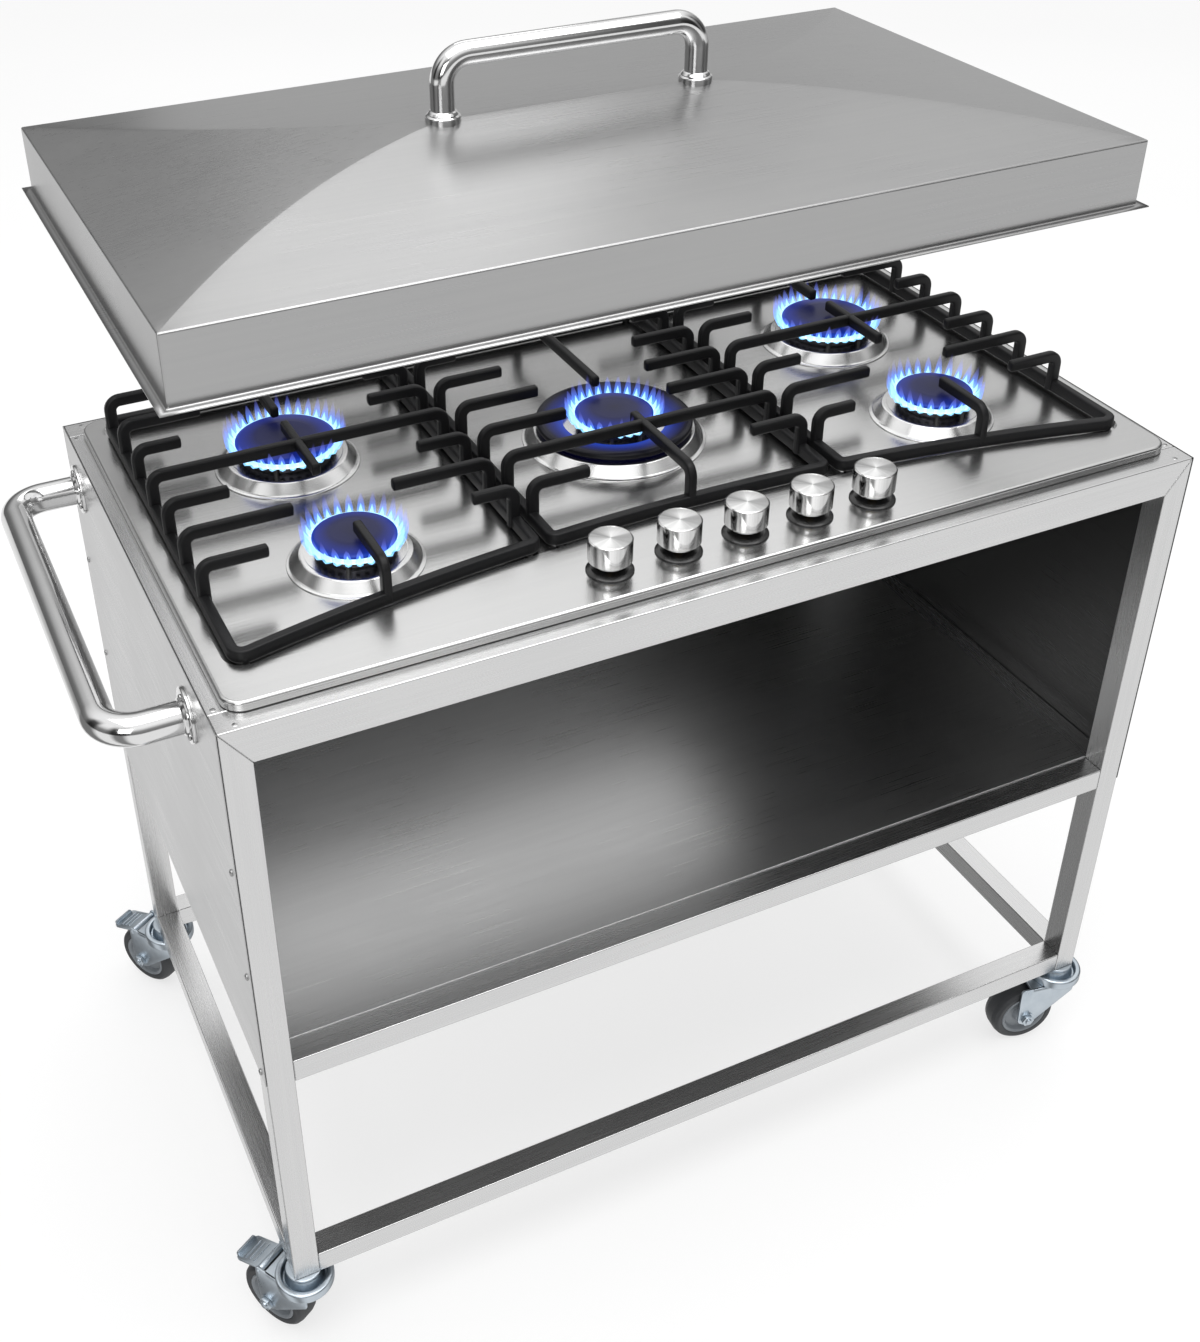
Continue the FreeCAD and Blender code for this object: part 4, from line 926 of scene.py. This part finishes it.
def support_pads(mesh, west, east):
    """Cast pads under the four corners."""
    pad, inset = 0.004, 0.012
    foot, top = WELL_FLOOR + 0.0002, WELL_FLOOR + 0.0062
    outline = profile([(0, foot), (pad, foot), (pad, top), (0, top)], 0.0004, 2)
    for x in (west + inset, east - inset):
        for y in (front_line(x) + BAR_WIDTH / 2, SUPPORT_BACK - BAR_WIDTH / 2):
            turned(mesh, outline, x, y, SMALL_STEPS)


def make_pan_supports():
    iron = cast_black("black_cast_iron")
    cross_rows = {"left": 3, "centre": 5, "right": 3}
    reaches = {"left": (OUTER_REACH, INNER_REACH), "centre": (MIDDLE_REACH, MIDDLE_REACH),
               "right": (INNER_REACH, OUTER_REACH)}
    for name, cross_row in cross_rows.items():
        node = f"{name}_pan_support"
        west, east = (corner.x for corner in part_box(node))
        half = (east - west) / 2
        mesh = bmesh.new()
        support_frame(mesh, west, east, name == "left", name == "right")
        support_pads(mesh, west, east)
        for row, (from_west, from_east) in enumerate(zip(*reaches[name])):
            y = FINGER_FIRST - row * FINGER_PITCH
            if row == cross_row:
                from_west = from_east = half + CROSS_OVERLAP
            support_finger(mesh, (west, y), RIGHT, from_west)
            support_finger(mesh, (east, y), -RIGHT, from_east)
        if name == "centre":
            x, y, cap = BURNERS["centre"][:3]
            front_tip, rear_tip = y - cap, y + cap
        else:
            x = BURNERS[f"front_{name}"][0]
            front_tip, rear_tip = OUTER_TIPS
            level = SUPPORT_TOP - FINGER_THICK / 2
            spoke_front = FINGER_FIRST - (cross_row + 1) * FINGER_PITCH
            spoke_rear = BURNERS[f"rear_{name}"][1]
            support_spoke(mesh, Vector((x, spoke_front, level)), Vector((x, spoke_rear, level)))
        support_finger(mesh, (x, front_line(x)), BACK, front_tip - front_line(x))
        support_finger(mesh, (x, SUPPORT_BACK), -BACK, SUPPORT_BACK - rear_tip)
        piece(f"pan_support_{name}", mesh, iron, node, [node], 50)


# Knobs

def make_knobs():
    black = moulded("black_bezel", (0.008, 0.008, 0.008), (0.02, 0.02, 0.02), 0.22, 0.00005)
    ring_low, ring_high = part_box("knob_bezels")
    rim, bore = (ring_high.y - ring_low.y) / 2, 0.0055
    bezel = profile([(bore, HOB_TOP), (rim, HOB_TOP), (rim, HOB_TOP + 0.0012), (rim - 0.004, ring_high.z),
                     (bore, ring_high.z)], [0, 0.0003, 0.0008, 0.001, 0], 3)
    bezels = bmesh.new()
    for number in range(1, 6):
        low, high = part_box(f"knob_{number}")
        x, y = (low.x + high.x) / 2, (low.y + high.y) / 2
        radius, collar = (high.x - low.x) / 2, 0.0145
        face, seat = radius - 0.0014, high.z - 0.0006
        outline = profile([(0.006, low.z + 0.001), (collar - 0.001, low.z), (collar, low.z + 0.001),
                           (collar, low.z + 0.004), (radius - 0.0006, low.z + 0.0043),
                           (radius, low.z + 0.005), (radius, high.z - 0.0009), (radius - 0.0009, high.z),
                           (face + 0.0002, high.z), (face + 0.0002, seat), (0, seat)],
                          [0, 0.0003, 0.0003, 0.0008, 0.0003, 0.0003, 0.0004, 0.0004, 0.0001, 0, 0], 3)
        knob = bmesh.new()
        turned(knob, outline, x, y, FINE_STEPS)
        # Painted reflection: dark and bright stripes round the knob's side, from the fans in its base colour
        bright = turned_steel_painted_fans(f"knob_side_painted_reflection_{number}", x, y, (0.16, 0.16, 0.16), (0.95, 0.95, 0.945), 0.13)
        piece(f"knob_turned_{number}", knob, bright, f"knob_{number}", [f"knob_{number}"], 25)
        top = high.z - 0.0001
        disc = bmesh.new()
        turned(disc, profile([(0, seat), (face, seat), (face, top), (0, top)], 0.0001, 2), x, y, FINE_STEPS)
        # Painted highlight fans on the knob's spun face
        spun = turned_steel_painted_fans(f"spun_knob_painted_fans_{number}", x, y, (0.30, 0.30, 0.30), (0.92, 0.92, 0.915), 0.3)
        piece(f"knob_face_{number}", disc, spun, f"knob_{number}", [f"knob_{number}"], 25)
        turned(bezels, bezel, x, y, 72, closed=True)
    piece("knob_rings", bezels, black, "cart", ["knob_bezels"], 30)


# Casters

def make_wheel(name, place, tyre_finish, hub_finish):
    """A soft tread on a dished hub, both turned about the axle."""
    body, rim, half = f"{name}_wheel", 0.0275, WHEEL_HALF
    tread = [(rim - 0.001, half - 0.003), (rim, half - 0.0006), (0.0330, half), (0.0362, half - 0.003),
             (WHEEL_RADIUS, half - 0.008)]
    tyre = bmesh.new()
    turned(tyre, profile(mirrored(tread), 0.0022, 4), steps=80, closed=True)
    piece(f"caster_tyre_{name}", tyre, tyre_finish, body, [body], 40, place @ AXLE)

    boss, face = half + 0.0015, half - 0.006
    web = [(0.0041, boss), (0.0095, boss), (0.011, boss - 0.001), (0.0125, face), (0.0215, face),
           (0.0235, half - 0.0015), (0.0262, half + 0.0003), (0.0274, half - 0.0015)]
    hub = bmesh.new()
    turned(hub, profile(mirrored(web), 0.0009, 4), steps=80, closed=True)
    piece(f"caster_hub_{name}", hub, hub_finish, body, [body], 30, place @ AXLE)


def make_fork(name, place, zinc):
    """A pressed fork: two cheeks, a roof, and a race that holds the balls."""
    fork = bmesh.new()
    top, shoulder, nose = ROOF_Z + ROOF_THICK, ROOF_Z - 0.010, -0.016
    outer = CHEEK_INNER + CHEEK_THICK
    outline = [(nose, top, 0), (TRAIL + 0.012, top, 0), (TRAIL + 0.012, shoulder, 0),
               (TRAIL + 0.010, WHEEL_RADIUS - 0.006, 0), (TRAIL, WHEEL_RADIUS - 0.0112, 0),
               (TRAIL - 0.010, WHEEL_RADIUS - 0.006, 0), (nose, shoulder, 0)]
    cheek = softened(outline, [0.003, 0.003, 0.006, 0.008, 0.008, 0.010, 0.006], 5, closed=True)
    upright = Matrix.Rotation(math.pi / 2, 4, "X")
    for face in (-CHEEK_INNER, outer):
        plate(fork, cheek, CHEEK_THICK, Matrix.Translation((0, face, 0)) @ upright)
    roof = [(nose, -outer, 0), (TRAIL, -outer, 0), (TRAIL, outer, 0), (nose, outer, 0)]
    plate(fork, softened(roof, 0.002, 4, closed=True), ROOF_THICK, Matrix.Translation((0, 0, ROOF_Z)))
    bevel_sharp(fork, 0.0006, 50, 2)
    race = profile([(0.0061, top), (0.0285, top - 0.0002), (0.0285, top + 0.012), (0.0225, top + 0.012),
                    (0.0225, top + 0.004), (0.0061, top + 0.004)], [0, 0.003, 0.0025, 0.0012, 0.002, 0])
    turned(fork, race, steps=72, closed=True)
    if name.endswith("left"):
        rivet = profile([(0.003, -0.0002), (0.003, 0.0004), (0.0012, 0.001), (0, 0.001)], 0.0004, 3)
        for way in (-BACK, BACK):
            verts = turned(fork, rivet, steps=SMALL_STEPS)
            bmesh.ops.transform(fork, matrix=standing(PEDAL_PIVOT + outer * way, way), verts=verts)
    piece(f"caster_fork_{name}", fork, zinc, f"{name}_fork", [f"{name}_fork"], 40, place)


def make_axle(name, place, zinc):
    """An axle bolt with a hexagon at each end, on washers."""
    axle = bmesh.new()
    outer, washer, nut = CHEEK_INNER + CHEEK_THICK, 0.0008, 0.005
    turned(axle, profile([(0, -outer - nut), (0.004, -outer - nut), (0.004, outer + 0.0066),
                          (0.003, outer + 0.007), (0, outer + 0.007)]), steps=24)
    hexagon = ring_section(0.0075, 6)
    for low, high in ((-outer - nut, -outer - washer), (outer + washer, outer + nut)):
        swept(axle, hexagon, [Matrix.Translation((0, 0, low)), Matrix.Translation((0, 0, high))])
    bevel_sharp(axle, 0.0005, 35, 2)
    for low in (-outer - washer, outer):
        outline = profile([(0.0042, low), (0.0085, low), (0.0085, low + washer), (0.0042, low + washer)])
        turned(axle, outline, steps=32, closed=True)
    piece(f"caster_axle_{name}", axle, zinc, f"{name}_fork", [f"{name}_axle"], 30, place @ AXLE)


def make_pedal(name, place, zinc):
    """A brake tread: a ribbed plate with a turned-up lip, on a barrel between the cheeks."""
    pedal = bmesh.new()
    half, thick, length = CHEEK_INNER - 0.0006, 0.0025, 0.036
    upright = Matrix.Rotation(math.pi / 2, 4, "X")
    under = Matrix.Translation((0, 0, -thick / 2))
    tread = [(0.001, -half, 0), (length, -half, 0), (length, half, 0), (0.001, half, 0)]
    plate(pedal, softened(tread, [0.001, 0.005, 0.005, 0.001], 4, closed=True), thick, under)
    lip_half, lip_rise = half - 0.003, 0.006
    lip = [(-lip_half, 0, 0), (lip_half, 0, 0), (lip_half, lip_rise, 0), (-lip_half, lip_rise, 0)]
    stand = Matrix.Translation((length, 0, -thick / 2)) @ Matrix.Rotation(-math.pi / 2, 4, "Z") @ upright
    plate(pedal, softened(lip, 0.002, 4, closed=True), thick, stand)
    bevel_sharp(pedal, 0.0006, 50, 2)
    for n in range(3):
        rib = [Vector((0.013 + 0.006 * n, side * (half - 0.004), thick / 2)) for side in (-1, 1)]
        swept(pedal, bar_section(0.0018, 0.0018, 0.0007), stations(rib, UP))
    bmesh.ops.transform(pedal, matrix=Matrix.Rotation(math.radians(18), 4, "Y"), verts=pedal.verts)
    pin = profile([(0, -half), (0.004, -half), (0.004, half), (0, half)], 0.0004, 2)
    barrel = turned(pedal, pin, steps=28)
    bmesh.ops.transform(pedal, matrix=upright, verts=barrel)
    piece(f"brake_tread_{name}", pedal, zinc, f"{name}_pedal", [f"{name}_brake_pedal"], 35,
          place @ Matrix.Translation(PEDAL_PIVOT))


def make_casters():
    zinc = zinc_plate()
    tyre = moulded("grey_tyre", (0.022, 0.024, 0.027), (0.05, 0.053, 0.058), 0.5)
    hub = moulded("grey_hub", (0.16, 0.18, 0.20), (0.26, 0.28, 0.30), 0.38, 0.0001)
    low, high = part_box("caster_stems")
    dome, foot = ROOF_Z + ROOF_THICK + 0.0043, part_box("front_legs")[0].z
    pin, plug, collar = 0.006, 0.0108, 0.0175
    outline = profile([(0, low.z), (0.009, low.z), (0.009, low.z + 0.003), (pin, low.z + 0.003), (pin, dome),
                       (0.021, dome), (0.015, foot - 0.004), (collar, foot - 0.004), (collar, foot),
                       (plug, foot), (plug, high.z), (0, high.z)],
                      [0, 0.001, 0.0006, 0, 0.0006, 0.002, 0.001, 0.001, 0.001, 0, 0, 0])
    stems = bmesh.new()
    for name, (x_side, y_side, heading) in CASTERS.items():
        spot = Vector((x_side * LEG_X, y_side * LEG_Y, 0))
        place = Matrix.Translation(spot) @ Matrix.Rotation(math.radians(heading), 4, "Z")
        make_wheel(name, place, tyre, hub)
        make_fork(name, place, zinc)
        make_axle(name, place, zinc)
        if name.endswith("left"):
            make_pedal(name, place, zinc)
        turned(stems, outline, spot.x, spot.y, 56)
    piece("caster_kingpins", stems, zinc, "cart", ["caster_stems"], 35)


# Studio

# Brightness of the room by height, and all round it from the front by way of the left, the back and the right
ROOM_RISE = ((0.0, 0.16), (0.25, 0.22), (0.34, 0.33), (0.47, 0.68), (0.6, 0.92), (0.72, 1.05), (1.0, 1.05))
ROOM_ROUND = ((0.0, 1.2), (0.055, 1.2), (0.09, 0.12), (0.165, 0.12), (0.20, 1.1), (0.25, 1.1),
              (0.275, 0.12), (0.31, 0.12), (0.34, 1.0), (0.38, 0.9), (0.44, 0.7), (0.51, 0.75),
              (0.555, 0.6), (0.585, 0.68), (0.605, 1.1), (0.64, 1.25), (0.70, 0.7), (0.78, 0.15),
              (0.81, 0.9), (0.83, 1.0), (0.85, 0.12), (0.91, 0.12), (0.935, 1.2), (1.0, 1.2))

# The same for the floor, as polished parts mirror it
FLOOR_ROUND = ((0.0, 0.95), (0.08, 0.95), (0.11, 0.25), (0.15, 0.25), (0.18, 0.95), (0.25, 0.95),
               (0.29, 0.22), (0.39, 0.22), (0.425, 0.9), (0.50, 0.95), (0.56, 0.8), (0.6, 0.4),
               (0.7, 0.35), (0.78, 0.6), (0.83, 0.95), (1.0, 0.95))
BACKDROP = 0.93

# Softboxes: place, aim, size and power
SOFTBOXES = {
    "top_box": ((0.0, -0.3, 3.2), (0, 0, 0.6), (3.0, 2.4), 60),
    "fold_box": ((0.62, 2.2, 2.8), (-0.3, -0.08, 1.04), (1.2, 0.8), 3.5),
    "front_box": ((-2.2, -2.6, 2.2), (0, 0, 0.6), (1.4, 1.6), 20),
    "back_box": ((2.0, 3.4, 1.6), (0.1, 0.1, 1.04), (3.6, 1.6), 7),
    "lid_box": ((0.03, 0.128, 0.972), (0.03, 0.128, 0.5), (0.88, 0.47), 1.15),
    "bay_box": ((-0.10, 0.15, 0.703), (-0.10, 0.15, 0.4), (0.64, 0.2), 0.3),
}


def make_floor():
    mesh = bmesh.new()
    bmesh.ops.create_grid(mesh, x_segments=4, y_segments=4, size=9.0)
    data = bpy.data.meshes.new("floor")
    mesh.to_mesh(data)
    mesh.free()
    floor = bpy.data.objects.new("floor", data)
    bpy.context.scene.collection.objects.link(floor)
    paint = Finish("pale_floor", Roughness=0.6, Specular_IOR_Level=0.0, Emission_Color=(1, 1, 1, 1),
                   Emission_Strength=0.70)
    paint.surface(Base_Color=paint.blend(paint.noise(1.5, 2.0), (0.29, 0.29, 0.29), (0.31, 0.31, 0.31)))
    data.materials.append(paint.material)
    floor.visible_glossy = False


def softbox(name, place, aim, size, power):
    light = bpy.data.lights.new(name, "AREA")
    light.shape, light.energy = "RECTANGLE", power
    light.size, light.size_y = size
    lamp = bpy.data.objects.new(name, light)
    lamp.location = place
    lamp.rotation_euler = (Vector(aim) - Vector(place)).to_track_quat("-Z", "Y").to_euler()
    lamp.visible_camera = False
    bpy.context.scene.collection.objects.link(lamp)


def grey_stops(levels):
    return [(place, (level, level, level)) for place, level in levels]


def make_light():
    """A soft room: dim low down, bright overhead and uneven all round, with softboxes about the cart."""
    world = bpy.data.worlds.new("studio")
    bpy.context.scene.world = world
    world.use_nodes = True
    room = NodeTree(world.node_tree)
    way = room.node("ShaderNodeTexCoord", output="Generated")
    across, along, height = (room.part(way, axis) for axis in "XYZ")
    rise = room.ramp(height, grey_stops(ROOM_RISE))
    round_share = across.maths("ARCTAN2", across, along) / FULL_TURN + 0.5
    panels = room.ramp(round_share, grey_stops(ROOM_ROUND))
    overhead = room.clamp((height - 0.55) / 0.25)
    glow = rise * (panels + (1 - panels) * overhead)
    ground = room.ramp(round_share, grey_stops(FLOOR_ROUND))
    below = room.clamp(height / -0.06)
    glow = glow + (ground - glow) * below
    seen = room.node("ShaderNodeLightPath", output="Is Camera Ray")
    backdrop = world.node_tree.nodes["Background"]
    room.feed(backdrop.inputs["Color"], (1, 1, 1, 1))
    room.feed(backdrop.inputs["Strength"], glow + (BACKDROP - glow) * seen)
    for name, (place, aim, size, power) in SOFTBOXES.items():
        softbox(name, place, aim, size, power)


def make_camera():
    data = bpy.data.cameras.new("camera")
    data.sensor_width = SENSOR
    data.lens = FOCAL_PIXELS * SENSOR / PHOTO_HEIGHT
    data.shift_x = (PHOTO_WIDTH / 2 - MIDDLE_PIXEL[0]) / PHOTO_HEIGHT
    data.shift_y = (MIDDLE_PIXEL[1] - PHOTO_HEIGHT / 2) / PHOTO_HEIGHT
    data.clip_end = 60
    camera = bpy.data.objects.new("camera", data)
    axes = Matrix((CAMERA_RIGHT, -CAMERA_DOWN, -CAMERA_RIGHT.cross(CAMERA_DOWN))).transposed().to_4x4()
    camera.matrix_world = Matrix.Translation(CAMERA_PLACE) @ axes
    bpy.context.scene.collection.objects.link(camera)
    bpy.context.scene.camera = camera
    bpy.context.scene.view_settings.view_transform = "Standard"


dress_frame()
polished_tube = polished_steel("polished_tube")
screw_steel = plain_metal("screw_steel", (0.50, 0.50, 0.50), 0.3)
make_screws(screw_steel)
make_rivets(screw_steel)
make_push_handle(polished_tube)
# The lid's darker steel is painted shade
make_lid(brushed_steel("brushed_lid", 0, 0.3, LID_SHADED_DARK, LID_SHADED_LIGHT))
make_lid_handle(polished_tube)
make_burners()
make_pan_supports()
make_knobs()
make_casters()
make_floor()
make_light()
make_camera()
